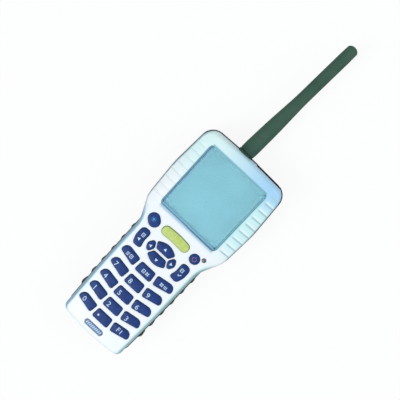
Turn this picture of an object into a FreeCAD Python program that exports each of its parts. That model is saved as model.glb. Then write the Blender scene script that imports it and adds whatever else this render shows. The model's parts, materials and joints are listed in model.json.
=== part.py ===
import FreeCAD, Part
import math
import os

import Sketcher
from FreeCAD import Rotation, Vector

# A handheld data terminal lies on its back.
# Z points out of the screen, Y runs along the body towards the antenna and X to its right.
# The origin is on the flat back, at the middle of the body's length and width.
doc = FreeCAD.newDocument("terminal")
sheet = doc.addObject("Spreadsheet::Sheet", "Sizes")

# Driving dimensions, in millimetres and degrees
DIMENSIONS = {
    # Body outline, as half widths and distances from mid length
    "top_apex": 83.85,
    "top_corner_y": 82.5,
    "top_corner_x": 34.6,
    "top_corner_round": 9.5,
    "head_half": 37.1,
    "head_widest_y": 46.3,
    "head_side_round": 90.0,
    "neck_top_x": 35.85,
    "neck_top_y": 19.0,
    "neck_top_round": 12.0,
    "neck_low_x": 28.35,
    "neck_low_y": 2.9,
    "neck_low_round": 20.0,
    "grip_half": 28.4,
    "grip_widest_y": -40.0,
    "grip_side_round": 300.0,
    "foot_x": 27.35,
    "foot_y": -83.7,
    "foot_round": 6.0,
    "foot_apex": -85.6,
    "foot_arc_rise": 0.6,
    "foot_arc_round": 130.0,
    "top_arc_round": 300.0,
    # Shells
    "body_depth": 32.0,
    "seam_height": 15.5,
    "front_draft": 3.5,
    "rear_draft": 5.0,
    "rim_step": 0.8,
    "seal_width": 1.0,
    "seal_high": 0.8,
    "front_edge_round": 3.2,
    "rear_edge_round": 5.0,
    "face_wall": 2.2,
    "side_wall": 2.2,
    "back_wall": 2.4,
    "edge_margin": 3.0,
    "pad_overlap": 0.5,
    "cut_overrun": 1.0,
    # Crown of the front
    "crown_half": 25.6,
    "crown_end": 75.6,
    "crown_radius": 20.6,
    "crown_corner": 3.0,
    "crown_overrun": 10.0,
    "crown_above": 3.0,
    # Shoulder grooves
    "groove_count": 8,
    "groove_pitch": 6.3,
    "groove_middle": 47.4,
    "groove_depth": 0.5,
    "groove_width": 1.9,
    "groove_sweep": 45.0,
    # Display
    "window_width": 49.0,
    "window_length": 52.0,
    "window_y": 48.0,
    "window_round": 1.8,
    "window_bevel": 0.8,
    "field_margin": 0.5,
    "field_neck": 12.8,
    "field_neck_slope": 12.0,
    "field_foot_margin": 4.2,
    "pane_lap": 1.5,
    "pane_thick": 1.5,
    "gasket_thick": 0.5,
    "gasket_width": 2.0,
    # Keys
    "row_first": -21.35,
    "row_pitch": 11.6,
    "row_count": 5,
    "key_gap": 0.25,
    "key_flange": 0.5,
    "key_flange_thick": 1.0,
    "key_proud": 1.3,
    "key_edge": 0.5,
    "key_travel": 0.8,
    "key_play": 0.1,
    "light_key_long": 5.1,
    "light_key_wide": 4.25,
    "light_key_round": 4.1,
    "pad_y": -4.85,
    "scan_key_y": 10.3,
    "power_key_x": 18.8,
    "power_key_y": 8.9,
    "power_key_r": 3.7,
    "light_key_x": -19.6,
    "light_key_y": 9.8,
    "led_x": 24.1,
    "led_y": 12.7,
    "led_r": 1.6,
    "led_rim": 0.4,
    "led_leg_r": 1.0,
    "led_proud": 0.3,
    "badge_y": -77.7,
    "badge_length": 16.3,
    "badge_width": 4.4,
    "badge_sink": 0.6,
    "badge_thick": 0.8,
    # Inside
    "mat_thick": 2.8,
    "board_thick": 1.6,
    "board_head_y": 80.0,
    "board_neck_y": 21.0,
    "board_grip_y": 15.0,
    "board_tail_x": 15.5,
    "board_turn_y": -72.5,
    "board_tail_y": -79.5,
    "inner_margin": 2.1,
    "mat_head_margin": 5.4,
    "buzzer_r": 6.0,
    "buzzer_high": 5.0,
    "buzzer_x": -15.0,
    "buzzer_y": 45.0,
    "boss_r": 3.2,
    "screw_r": 1.25,
    "screw_head_r": 2.6,
    "screw_head_high": 2.0,
    "screw_recess": 3.2,
    "screw_bite": 7.0,
    "pilot_deep": 8.0,
    "thread_play": 0.05,
    "post_screw_r": 0.875,
    "post_screw_head_r": 2.0,
    "post_screw_head_high": 1.2,
    "post_screw_bite": 3.5,
    "post_pilot_deep": 4.0,
    "post_r": 1.9,
    "fit": 0.1,
    # Battery bay, door and its screw
    "bay_half": 18.6,
    "bay_top_y": -12.0,
    "bay_foot_y": -64.0,
    "bay_deep": 12.0,
    "bay_wall": 1.6,
    "door_half": 20.5,
    "door_thick": 2.0,
    "door_gap": 0.3,
    "hinge_y": -7.4,
    "hinge_z": 2.2,
    "hinge_pin_r": 1.0,
    "hinge_pin_play": 0.06,
    "barrel_r": 2.2,
    "pin_reach": 2.0,
    "door_foot_y": -72.4,
    "frame_height": 4.4,
    "lock_y": -68.3,
    "lock_r": 3.0,
    "lock_head": 1.2,
    "lock_shank_r": 1.3,
    "lock_reach": 5.0,
    "lock_hole_play": 0.35,
    "coin_slot_wide": 1.0,
    "battery_play": 0.4,
    "pack_round": 2.0,
    "contact_half": 6.0,
    "contact_low": 6.5,
    "contact_high": 11.0,
    "contact_back": 1.2,
    # Antenna and scanner
    "antenna_x": -4.75,
    "antenna_z": 16.0,
    "antenna_lean": 3.18,
    "antenna_length": 98.5,
    "antenna_base_r": 5.9,
    "antenna_mid_r": 5.4,
    "antenna_tip_r": 4.2,
    "antenna_step_y": 25.0,
    "antenna_slim_y": 50.0,
    "antenna_tip_round": 2.6,
    "antenna_foot_bevel": 0.4,
    "stud_r": 3.2,
    "stud_long": 8.0,
    "stud_play": 0.08,
    "collar_r": 5.9,
    "collar_out": 0.9,
    "collar_long": 5.0,
    "tail_half": 4.0,
    "tail_long": 8.0,
    "end_gap": 0.3,
    "scan_x": 17.5,
    "scan_wide": 22.0,
    "scan_high": 11.0,
    "scan_pane": 2.0,
    "scan_engine_long": 14.0,
    "scan_engine_low": 10.6,
    "scan_engine_margin": 1.0,
    "scan_engine_shift": 2.6,
    "scan_pane_sink": 0.2,
    "charge_half": 8.0,
    "charge_low": 7.0,
    "charge_high": 11.0,
    "charge_sink": 0.6,
    "charge_pad_out": 0.3,
    "charge_pad_margin": 0.8,
    "charge_pad_count": 4,
    # Grips
    "ridge_count": 6,
    "ridge_pitch": 11.3,
    "ridge_middle": -37.3,
    "ridge_wide": 4.6,
    "ridge_proud": 1.6,
    "ridge_root": 0.2,
    "grip_top_y": -4.0,
    "grip_foot_y": -71.0,
    "grip_low": 4.0,
    "grip_high": 14.3,
    "grip_seat_x": 27.2,
    "grip_thick": 1.4,
}

# Corners of the keys as across, along and rounding, from the middle of each key or of its row
KEY_CORNERS = {
    "centre": {"low": (6.95, -3.85, 1.4), "top": (6.3, 3.85, 1.4)},
    "side": {
        "inner_top": (8.5, 4.05, 1.3), "inner_low": (9.6, -3.35, 1.3),
        "outer_low": (23.4, 0.15, 1.8), "outer_top": (21.9, 6.35, 4.0),
    },
    "arrow": {"low": (5.3, 1.15, 1.3), "high": (7.9, 5.65, 1.2), "peak": (0, 9.85, 10.6)},
    "petal": {"inner": (6.2, 0, 3.0), "end": (9.4, 5.35, 1.5), "outer": (13.0, 0, 4.0)},
    "kidney": {
        "inner_top": (14.9, 6.75, 2.4), "inner_middle": (15.3, -1.0, 12.0), "inner_low": (13.8, -6.8, 1.6),
        "outer_low": (20.3, -7.4, 2.6), "outer_middle": (22.3, -1.3, 12.0), "outer_top": (22.1, 6.75, 3.2),
    },
    "scan": {
        "low": (0, -3.1, 60.0), "end_low": (11.6, -3.8, 3.1),
        "end_high": (11.4, 3.1, 3.1), "high": (0, 4.0, 60.0),
    },
}
for shape, corners in KEY_CORNERS.items():
    for corner, measures in corners.items():
        for item, measure in zip(("x", "y", "r"), measures):
            DIMENSIONS[f"{shape}_{corner}_{item}"] = measure


class Size:
    """A length with its value and its formula in the sheet."""

    def __init__(self, value, text):
        self.value = float(value)
        self.text = text

    def __add__(self, other):
        other = as_size(other)
        return Size(self.value + other.value, f"({self.text} + {other.text})")

    def __radd__(self, other):
        return as_size(other) + self

    def __sub__(self, other):
        other = as_size(other)
        return Size(self.value - other.value, f"({self.text} - {other.text})")

    def __rsub__(self, other):
        return as_size(other) - self

    def __mul__(self, factor):
        return Size(self.value * factor, f"({self.text} * {factor})")

    __rmul__ = __mul__

    def __truediv__(self, factor):
        return Size(self.value / factor, f"({self.text} / {factor})")

    def __neg__(self):
        return self * -1


def as_size(thing):
    if isinstance(thing, Size):
        return thing
    return Size(thing, f"{float(thing):.6f}")


for row, (alias, number) in enumerate(DIMENSIONS.items(), 1):
    sheet.set(f"A{row}", alias)
    sheet.set(f"B{row}", str(number))
    sheet.setAlias(f"B{row}", alias)
doc.recompute()


def size(alias):
    return Size(DIMENSIONS[alias], f"Sizes.{alias}")


def bind(thing, prop, amount):
    thing.setExpression(prop, as_size(amount).text)


# Bodies, sketches and features
def new_body(label):
    body = doc.addObject("PartDesign::Body", label)
    body.Label = label
    return body


def origin_plane(body, role):
    return [item for item in body.Origin.OriginFeatures if item.Role == role][0]


def place(body, x=0, y=0, z=0):
    base = [as_size(amount) for amount in (x, y, z)]
    body.Placement = FreeCAD.Placement(Vector(*[item.value for item in base]), Rotation())
    for axis, item in zip("xyz", base):
        body.setExpression(f"Placement.Base.{axis}", item.text)


def new_sketch(body, name, role="XY_Plane", shift=(0, 0, 0)):
    sketch = body.newObject("Sketcher::SketchObject", name)
    sketch.AttachmentSupport = [(origin_plane(body, role), "")]
    sketch.MapMode = "FlatFace"
    base = [as_size(amount) for amount in shift]
    offset = Vector(*[item.value for item in base])
    sketch.AttachmentOffset = FreeCAD.Placement(offset, Rotation())
    for axis, item in zip("xyz", base):
        sketch.setExpression(f"AttachmentOffset.Base.{axis}", item.text)
    return sketch


def link(kind, *places):
    return kind, places, None


def at_point(geometry, position, x, y):
    """Rules that put one point of a sketch at x and y, on an axis where the distance is nil."""
    rules = []
    for kind, amount, axis in (("DistanceX", as_size(x), -2), ("DistanceY", as_size(y), -1)):
        if abs(amount.value) < 1e-9:
            rules.append(link("PointOnObject", geometry, position, axis))
        else:
            rules.append((kind, (-1, 1, geometry, position), amount))
    return rules


def constrain(sketch, rules):
    """Adds links and dimensions to a sketch in one go and binds the dimensions to the sheet."""
    made = []
    for kind, places, amount in rules:
        ends = places if amount is None else (*places, as_size(amount).value)
        made.append(Sketcher.Constraint(kind, *ends))
    rows = sketch.addConstraint(made)
    for row, (_, _, amount) in zip(rows, rules):
        if amount is not None:
            sketch.setExpression(f"Constraints[{row}]", as_size(amount).text)


def circle(sketch, x, y, radius):
    x, y, radius = as_size(x), as_size(y), as_size(radius)
    shape = Part.Circle(Vector(x.value, y.value, 0), Vector(0, 0, 1), radius.value)
    edge = sketch.addGeometry(shape, False)
    constrain(sketch, [("Radius", (edge,), radius)] + at_point(edge, 3, x, y))


def polygon(sketch, corners):
    corners = [(as_size(x), as_size(y)) for x, y in corners]
    points = [Vector(x.value, y.value, 0) for x, y in corners]
    count = len(points)
    lines = [Part.LineSegment(start, points[(index + 1) % count]) for index, start in enumerate(points)]
    edges = [sketch.addGeometry(line, False) for line in lines]
    rules = [link("Coincident", edges[index], 2, edges[(index + 1) % count], 1) for index in range(count)]
    for edge, (x, y) in zip(edges, corners):
        rules += at_point(edge, 1, x, y)
    constrain(sketch, rules)


def rectangle(sketch, x_low, x_high, y_low, y_high):
    polygon(sketch, [(x_low, y_low), (x_high, y_low), (x_high, y_high), (x_low, y_high)])


def corner_round(before, corner, after, radius):
    """Start, end and centre of the arc that rounds a corner."""
    towards = (before - corner).normalize()
    away = (after - corner).normalize()
    half = towards.getAngle(away) / 2
    reach = radius / math.tan(half)
    middle = (towards + away).normalize() * (radius / math.sin(half))
    return corner + towards * reach, corner + away * reach, corner + middle


def arc_between(start, end, centre, radius):
    """The short arc about a centre, and whether it runs from start to end."""
    first = math.atan2(start.y - centre.y, start.x - centre.x)
    last = math.atan2(end.y - centre.y, end.x - centre.x)
    turn = (last - first) % (2 * math.pi)
    whole = Part.Circle(centre, Vector(0, 0, 1), radius)
    if turn < math.pi:
        return Part.ArcOfCircle(whole, first, first + turn), True
    return Part.ArcOfCircle(whole, last, last + 2 * math.pi - turn), False


def rounded(sketch, corners):
    """A closed outline through corners (x, y, radius), each rounded by a tangent arc."""
    corners = [tuple(as_size(item) for item in corner) for corner in corners]
    points = [Vector(x.value, y.value, 0) for x, y, _ in corners]
    count = len(points)
    arcs = []
    for index, (_, _, radius) in enumerate(corners):
        before, after = points[index - 1], points[(index + 1) % count]
        arcs.append(corner_round(before, points[index], after, radius.value))
    pieces = []
    for index, (start, end, centre) in enumerate(arcs):
        arc, forward = arc_between(start, end, centre, corners[index][2].value)
        arc_row = sketch.addGeometry(arc, False)
        line = Part.LineSegment(end, arcs[(index + 1) % count][0])
        pieces.append((arc_row, sketch.addGeometry(line, False), forward))
    marks = [sketch.addGeometry(Part.Point(point), True) for point in points]
    rules = []
    for index, (arc_row, line_row, forward) in enumerate(pieces):
        next_arc, _, next_forward = pieces[(index + 1) % count]
        arc_end = 2 if forward else 1
        next_start = 1 if next_forward else 2
        rules.append(link("Tangent", arc_row, arc_end, line_row, 1))
        rules.append(link("Tangent", line_row, 2, next_arc, next_start))
        rules.append(link("PointOnObject", marks[index], 1, line_row))
        rules.append(link("PointOnObject", marks[(index + 1) % count], 1, line_row))
    for (x, y, radius), (arc_row, _, _), mark in zip(corners, pieces, marks):
        rules.append(("Radius", (arc_row,), radius))
        rules += at_point(mark, 1, x, y)
    constrain(sketch, rules)


def pad(body, sketch, length, down=False, draft=None):
    feature = body.newObject("PartDesign::Pad", f"{sketch.Name}_pad")
    feature.Profile = sketch
    feature.Reversed = down
    feature.Refine = False
    bind(feature, "Length", length)
    if draft is not None:
        feature.setExpression("TaperAngle", (-draft).text)
    return feature


def pocket(body, sketch, length, up=False):
    before = body.Tip
    feature = body.newObject("PartDesign::Pocket", f"{sketch.Name}_cut")
    feature.Profile = sketch
    feature.Reversed = up
    feature.Refine = False
    bind(feature, "Length", length)
    check_cut(before, feature)
    return feature


def bulk(shape):
    """The volume of a coarse mesh of a shape, quick to find and close enough to compare."""
    points, triangles = shape.tessellate(1.0)
    return sum(points[a].dot(points[b].cross(points[c])) for a, b, c in triangles) / 6


def check_cut(before, feature):
    """Recomputes a cut and makes sure that it removed something."""
    doc.recompute()
    if bulk(feature.Shape) > bulk(before.Shape) - 0.05:
        raise ValueError(f"{feature.Name} removes nothing")


def repeat(body, original, axis, pitch, count):
    pattern = body.newObject("PartDesign::LinearPattern", f"{original.Name}_row")
    pattern.Originals = [original]
    pattern.Direction = axis
    pattern.Length = pitch.value * (count - 1)
    pattern.setExpression("Length", (pitch * (count - 1)).text)
    pattern.Occurrences = count
    pattern.Refine = False
    body.Tip = pattern
    doc.recompute()
    return pattern


# Levels above the flat back
FACE = size("body_depth")
SEAM = size("seam_height")
INNER_FACE = FACE - size("face_wall")
FLANGE_TOP = INNER_FACE - size("key_play")
FLANGE_LOW = FLANGE_TOP - size("key_flange_thick")
MAT_TOP = FLANGE_LOW - size("key_travel") - size("key_play")
BOARD_TOP = MAT_TOP - size("mat_thick")
BOARD_LOW = BOARD_TOP - size("board_thick")
RIM_CEILING = FACE - size("face_wall") - size("edge_margin")


def body_outline(sketch, grow=0):
    """The terminal seen from the front, grown outwards all round."""
    right = [
        (size("top_corner_x"), size("top_corner_y"), size("top_corner_round")),
        (size("head_half"), size("head_widest_y"), size("head_side_round")),
        (size("neck_top_x"), size("neck_top_y"), size("neck_top_round")),
        (size("neck_low_x"), size("neck_low_y"), size("neck_low_round")),
        (size("grip_half"), size("grip_widest_y"), size("grip_side_round")),
        (size("foot_x"), size("foot_y"), size("foot_round")),
    ]
    left = [(-x, y, radius) for x, y, radius in reversed(right)]
    top = [(0, size("top_apex"), size("top_arc_round"))]
    foot = [(0, size("foot_apex") - size("foot_arc_rise"), size("foot_arc_round"))]
    grown_outline(sketch, top + right + foot + left, grow)


def grown_outline(sketch, corners, grow=0, x_at=0, y_at=0):
    """A rounded outline at a place, whose sides all move outwards by the same amount."""
    corners = [tuple(as_size(item) for item in corner) for corner in corners]
    points = [Vector(x.value, y.value, 0) for x, y, _ in corners]
    count = len(points)
    area = sum(a.cross(b).z for a, b in zip(points, points[1:] + points[:1]))
    spin = 1 if area > 0 else -1
    grow = as_size(grow)
    grown = []
    for index, (x, y, radius) in enumerate(corners):
        before = (points[index] - points[index - 1]).normalize()
        after = (points[(index + 1) % count] - points[index]).normalize()
        out_before = Vector(before.y, -before.x, 0) * spin
        out_after = Vector(after.y, -after.x, 0) * spin
        move = (out_before + out_after) * (1 / (1 + out_before.dot(out_after)))
        bulge = 1 if before.cross(after).z * spin > 0 else -1
        grown.append((x + grow * move.x + x_at, y + grow * move.y + y_at, radius + grow * bulge))
    rounded(sketch, grown)


# Keys that repeat their corners on their other half: across the key, or along it
MIRRORED = {"centre": (-1, 1), "arrow": (-1, 1), "scan": (-1, 1), "petal": (1, -1)}


def key_outline(sketch, shape, grow=0, flip=(1, 1), x_at=0, y_at=0):
    """The outline of a key, grown outwards, flipped across or along and put at a place."""
    if shape == "power":
        return circle(sketch, x_at, y_at, size("power_key_r") + grow)
    if shape == "light":
        corners = light_key_corners()
    else:
        names = [f"{shape}_{corner}" for corner in KEY_CORNERS[shape]]
        corners = [tuple(size(f"{name}_{item}") for item in ("x", "y", "r")) for name in names]
    across, along = MIRRORED.get(shape, (1, 1))
    if (across, along) != (1, 1):
        for x, y, radius in reversed(list(corners)):
            if abs(x.value) * (across < 0) + abs(y.value) * (along < 0) > 0:
                corners.append((x * across, y * along, radius))
    corners = [(x * flip[0], y * flip[1], radius) for x, y, radius in corners]
    return grown_outline(sketch, corners, grow, x_at, y_at)


def light_key_corners():
    """The light key is a short, almost round block that leans towards the scan key."""
    turn = math.radians(-40)
    long, wide, radius = size("light_key_long"), size("light_key_wide"), size("light_key_round")
    corners = []
    for x, y in [(long, wide), (long, -wide), (-long, -wide), (-long, wide)]:
        across = x * math.cos(turn) - y * math.sin(turn)
        along = x * math.sin(turn) + y * math.cos(turn)
        corners.append((across, along, radius))
    return corners


ROW_LOW = size("row_first") - size("row_pitch") * (DIMENSIONS["row_count"] - 1)
PAD_Y = size("pad_y")
KEYS = {
    "key_light": ("light", (1, 1), size("light_key_x"), size("light_key_y")),
    "key_scan": ("scan", (1, 1), 0, size("scan_key_y")),
    "key_power": ("power", (1, 1), size("power_key_x"), size("power_key_y")),
    "key_up": ("arrow", (1, 1), 0, PAD_Y),
    "key_down": ("arrow", (1, -1), 0, PAD_Y),
    "key_left": ("petal", (-1, 1), 0, PAD_Y),
    "key_right": ("petal", (1, 1), 0, PAD_Y),
    "key_exit": ("kidney", (-1, 1), 0, PAD_Y),
    "key_confirm": ("kidney", (1, 1), 0, PAD_Y),
}
KEY_GROUPS = [
    ("key_light", "key_scan", "key_power"),
    ("key_up", "key_down"),
    ("key_left", "key_right"),
    ("key_exit", "key_confirm"),
]
ROW_NAMES = [
    ("key_function_left", "key_function", "key_function_right"),
    ("key_7", "key_8", "key_9"),
    ("key_4", "key_5", "key_6"),
    ("key_1", "key_2", "key_3"),
    ("key_0", "key_point", "key_f1"),
]
ROW_SHAPES = [("side", (-1, 1)), ("centre", (1, 1)), ("side", (1, 1))]
CASE_SCREWS = [(29.6, 72.0), (29.6, 24.0), (19.5, -77.0)]
BOARD_POSTS = [(13.2, 17.4), (12.0, -76.0)]


def both_sides(places):
    return [(side * x, y) for x, y in places for side in (-1, 1)]


# Front housing
def front_case():
    body = new_body("front_case")
    outline = new_sketch(body, "front_outline", shift=(0, 0, SEAM))
    body_outline(outline)
    pad(body, outline, FACE - SEAM, draft=size("front_draft"))
    doc.recompute()
    crown_front(body)
    round_front_edge(body)
    hollow_front(body)
    add_front_bosses(body)
    cut_window(body)
    cut_badge_seat(body)
    cut_grooves(body)
    cut_keys(body)
    cut_end_openings(body)
    return body


def crown_front(body):
    """The front falls away in an arc outside a flat field, at both sides and at the top end."""
    half, end, corner = size("crown_half"), size("crown_end"), size("crown_corner")
    start = size("foot_apex") - size("crown_overrun")
    path = new_sketch(body, "crown_path", shift=(0, 0, FACE))
    inner = half - corner
    up, turn_y = Vector(0, 0, 1), end - corner
    right_round = Part.Circle(Vector(inner.value, turn_y.value, 0), up, corner.value)
    left_round = Part.Circle(Vector(-inner.value, turn_y.value, 0), up, corner.value)
    lines = [
        Part.LineSegment(Vector(half.value, start.value, 0), Vector(half.value, turn_y.value, 0)),
        Part.ArcOfCircle(right_round, 0, math.pi / 2),
        Part.LineSegment(Vector(inner.value, end.value, 0), Vector(-inner.value, end.value, 0)),
        Part.ArcOfCircle(left_round, math.pi / 2, math.pi),
        Part.LineSegment(Vector(-half.value, turn_y.value, 0), Vector(-half.value, start.value, 0)),
    ]
    rows = [path.addGeometry(line, False) for line in lines]
    rules = [link("Tangent", first, 2, second, 1) for first, second in zip(rows, rows[1:])]
    constrain(path, rules + [
        link("Vertical", rows[0]), link("Horizontal", rows[2]), link("Vertical", rows[4]),
        link("Equal", rows[1], rows[3]),
        ("Radius", (rows[1],), corner),
        ("DistanceX", (-1, 1, rows[0], 1), half),
        ("DistanceX", (rows[4], 2, -1, 1), half),
        ("DistanceY", (rows[0], 1, -1, 1), -start),
        ("DistanceY", (rows[4], 2, -1, 1), -start),
        ("DistanceY", (-1, 1, rows[2], 1), end),
    ])
    profile = new_sketch(body, "crown_profile", "XZ_Plane", shift=(0, 0, -start))
    radius, above = size("crown_radius"), size("crown_above")
    reach = size("head_half") - half + size("cut_overrun") * 2
    fall_angle = math.asin(reach.value / radius.value)
    centre = Vector(half.value, (FACE - radius).value, 0)
    whole = Part.Circle(centre, up, radius.value)
    arc = Part.ArcOfCircle(whole, math.pi / 2 - fall_angle, math.pi / 2)
    low = arc.StartPoint
    flat, lift = Vector(half.value, FACE.value, 0), Vector(0, above.value, 0)
    edges = [
        arc,
        Part.LineSegment(flat, flat + lift),
        Part.LineSegment(flat + lift, Vector(low.x, flat.y, 0) + lift),
        Part.LineSegment(Vector(low.x, flat.y, 0) + lift, low),
    ]
    rows = [profile.addGeometry(edge, False) for edge in edges]
    rules = [link("Coincident", rows[index], 2, rows[(index + 1) % 4], 1) for index in range(4)]
    constrain(profile, rules + [
        link("Vertical", rows[1]), link("Horizontal", rows[2]), link("Vertical", rows[3]),
        link("Vertical", rows[0], 3, rows[0], 2),
        ("Radius", (rows[0],), radius),
        ("DistanceY", (rows[1], 1, rows[1], 2), above),
        ("DistanceX", (rows[0], 2, rows[0], 1), reach),
    ] + at_point(rows[0], 3, half, FACE - radius))
    before = body.Tip
    doc.recompute()
    sweep = body.newObject("PartDesign::SubtractivePipe", "crown")
    sweep.Profile = profile
    sweep.Spine = (path, [f"Edge{number}" for number in range(1, 6)])
    sweep.Refine = False
    check_cut(before, sweep)


def front_rim_edges(shape):
    """Edges between the upright wall and the crowned front."""
    names = []
    for number, edge in enumerate(shape.Edges, 1):
        if edge.BoundBox.ZMin < SEAM.value + 1:
            continue
        middle = edge.valueAt((edge.FirstParameter + edge.LastParameter) / 2)
        slopes = []
        for face in shape.ancestorsOfType(edge, Part.Face):
            u, v = face.Surface.parameter(middle)
            slopes.append(abs(face.normalAt(u, v).z))
        if min(slopes) < 0.3 and max(slopes) > 0.7:
            names.append(f"Edge{number}")
    return names


def round_front_edge(body):
    before = body.Tip
    feature = body.newObject("PartDesign::Fillet", "front_edge")
    feature.Base = (before, front_rim_edges(before.Shape))
    feature.Refine = False
    bind(feature, "Radius", size("front_edge_round"))
    doc.recompute()


def hollow_front(body):
    wall = size("side_wall")
    rim = new_sketch(body, "front_rim_hollow", shift=(0, 0, SEAM))
    body_outline(rim, -wall)
    pocket(body, rim, RIM_CEILING - SEAM, up=True)
    field = new_sketch(body, "front_field_hollow", shift=(0, 0, SEAM))
    lap, margin = size("pane_lap"), size("field_margin")
    head_half = size("window_width") / 2 + lap + margin * 2
    head_top = size("window_y") + size("window_length") / 2 + lap + margin
    grip_half = size("grip_half") - wall - size("inner_margin")
    neck, slope = size("field_neck"), size("field_neck_slope")
    foot = size("foot_apex") + wall + size("field_foot_margin")
    polygon(field, [
        (-head_half, head_top), (-head_half, neck), (-grip_half, neck - slope), (-grip_half, foot),
        (grip_half, foot), (grip_half, neck - slope), (head_half, neck), (head_half, head_top),
    ])
    pocket(body, field, INNER_FACE - SEAM, up=True)


def cut_window(body):
    half, long = size("window_width") / 2, size("window_length") / 2
    middle = size("window_y")
    opening = new_sketch(body, "window_opening", shift=(0, 0, FACE))
    window_outline(opening, half, long, middle, size("window_round"))
    cut = pocket(body, opening, size("face_wall") + size("cut_overrun"))
    edges = []
    for number, edge in enumerate(cut.Shape.Edges, 1):
        box = edge.BoundBox
        on_face = box.ZMin > FACE.value - 0.01
        inside = box.YMin > (middle - long).value - 0.1 and abs(box.Center.x) < half.value + 0.1
        if on_face and inside and box.YMax < (middle + long).value + 0.1:
            edges.append(f"Edge{number}")
    bevel = body.newObject("PartDesign::Chamfer", "window_bevel")
    bevel.Base = (cut, edges)
    bevel.Refine = False
    bind(bevel, "Size", size("window_bevel"))
    doc.recompute()


def window_outline(sketch, half, long, middle, radius):
    rounded(sketch, [
        (half, middle + long, radius), (half, middle - long, radius),
        (-half, middle - long, radius), (-half, middle + long, radius),
    ])


def cut_keys(body):
    gap = size("key_gap")
    deep = size("face_wall") + size("cut_overrun")
    for number, names in enumerate(KEY_GROUPS, 1):
        holes = new_sketch(body, f"key_holes_{number}", shift=(0, 0, FACE))
        for name in names:
            shape, flip, x, y = KEYS[name]
            key_outline(holes, shape, gap, flip, x, y)
        pocket(body, holes, deep)
    lamp = new_sketch(body, "led_hole", shift=(0, 0, FACE))
    circle(lamp, size("led_x"), size("led_y"), size("led_r") + size("fit"))
    pocket(body, lamp, deep)
    row = new_sketch(body, "row_holes", shift=(0, ROW_LOW, FACE))
    for shape, flip in ROW_SHAPES:
        key_outline(row, shape, gap, flip)
    cut = pocket(body, row, deep)
    repeat(body, cut, (row, ["V_Axis"]), size("row_pitch"), DIMENSIONS["row_count"])


def cut_badge_seat(body):
    badge = new_sketch(body, "badge_seat", shift=(0, size("badge_y"), FACE))
    pill(badge, size("badge_length") + size("fit") * 2, size("badge_width") + size("fit") * 2)
    pocket(body, badge, size("badge_sink"))


def pill(sketch, length, width):
    """A slot shape with half-round ends."""
    half, radius = (length - width) / 2, width / 2
    ends = []
    for side in (1, -1):
        centre = Vector(side * half.value, 0, 0)
        start = -math.pi / 2 if side == 1 else math.pi / 2
        whole = Part.Circle(centre, Vector(0, 0, 1), radius.value)
        ends.append(sketch.addGeometry(Part.ArcOfCircle(whole, start, start + math.pi), False))
    top = sketch.addGeometry(
        Part.LineSegment(Vector(half.value, radius.value, 0), Vector(-half.value, radius.value, 0)), False)
    low = sketch.addGeometry(
        Part.LineSegment(Vector(-half.value, -radius.value, 0), Vector(half.value, -radius.value, 0)), False)
    right, left = ends
    chain = [(right, top), (top, left), (left, low), (low, right)]
    constrain(sketch, [link("Tangent", a, 2, b, 1) for a, b in chain] + [
        link("Equal", right, left),
        ("Radius", (right,), radius),
        link("PointOnObject", left, 3, -1),
        ("DistanceX", (left, 3, right, 3), half * 2),
    ] + at_point(right, 3, half, 0))


def cut_grooves(body):
    """Shallow finger grooves down both shoulders, turned about the axis of the crown's arc."""
    radius, count = size("crown_radius"), DIMENSIONS["groove_count"]
    deep, wide = size("groove_depth"), size("groove_width")
    first = size("groove_middle") - size("groove_pitch") * ((count - 1) / 2)
    for side, name in ((1, "right"), (-1, "left")):
        before = body.Tip
        profile = new_sketch(
            body, f"{name}_groove", "YZ_Plane", shift=(0, FACE - radius, size("crown_half") * side))
        polygon(profile, [
            (first - wide * 0.15, radius + deep), (first, radius - deep), (first + wide * 0.85, radius + deep),
        ])
        groove = body.newObject("PartDesign::Groove", f"{name}_groove_cut")
        groove.Profile = profile
        groove.ReferenceAxis = (profile, ["H_Axis"])
        bind(groove, "Angle", size("groove_sweep"))
        groove.Reversed = side == -1
        groove.Refine = False
        check_cut(before, groove)
        repeat(body, groove, (profile, ["H_Axis"]), size("groove_pitch"), count)


def add_front_bosses(body):
    bosses = new_sketch(body, "front_bosses", shift=(0, 0, SEAM))
    for x, y in both_sides(CASE_SCREWS):
        circle(bosses, x, y, size("boss_r"))
    pad(body, bosses, RIM_CEILING - SEAM + size("pad_overlap"))
    posts = new_sketch(body, "board_posts", shift=(0, 0, BOARD_TOP))
    for x, y in both_sides(BOARD_POSTS):
        circle(posts, x, y, size("post_r"))
    pad(body, posts, INNER_FACE - BOARD_TOP + size("pad_overlap"))
    doc.recompute()
    pilots = new_sketch(body, "front_pilots", shift=(0, 0, SEAM))
    for x, y in both_sides(CASE_SCREWS):
        circle(pilots, x, y, size("screw_r"))
    pocket(body, pilots, size("pilot_deep"), up=True)
    post_holes = new_sketch(body, "post_pilots", shift=(0, 0, BOARD_TOP))
    for x, y in both_sides(BOARD_POSTS):
        circle(post_holes, x, y, size("post_screw_r"))
    pocket(body, post_holes, size("post_pilot_deep"), up=True)


# Keys
def key(label, shape, flip, x, y):
    body = new_body(label)
    cap = new_sketch(body, f"{label}_cap")
    key_outline(cap, shape, 0, flip)
    pad(body, cap, FACE + size("key_proud") - FLANGE_LOW)
    flange = new_sketch(body, f"{label}_flange")
    key_outline(flange, shape, size("key_flange"), flip)
    pad(body, flange, size("key_flange_thick"))
    doc.recompute()
    top = (FACE + size("key_proud") - FLANGE_LOW).value
    before = body.Tip
    edges = [
        f"Edge{number}" for number, edge in enumerate(before.Shape.Edges, 1)
        if edge.BoundBox.ZMin > top - 0.01
    ]
    bevel = body.newObject("PartDesign::Chamfer", f"{label}_edge")
    bevel.Base = (before, edges)
    bevel.Refine = False
    bind(bevel, "Size", size("key_edge"))
    place(body, x, y, FLANGE_LOW)
    return body


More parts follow.
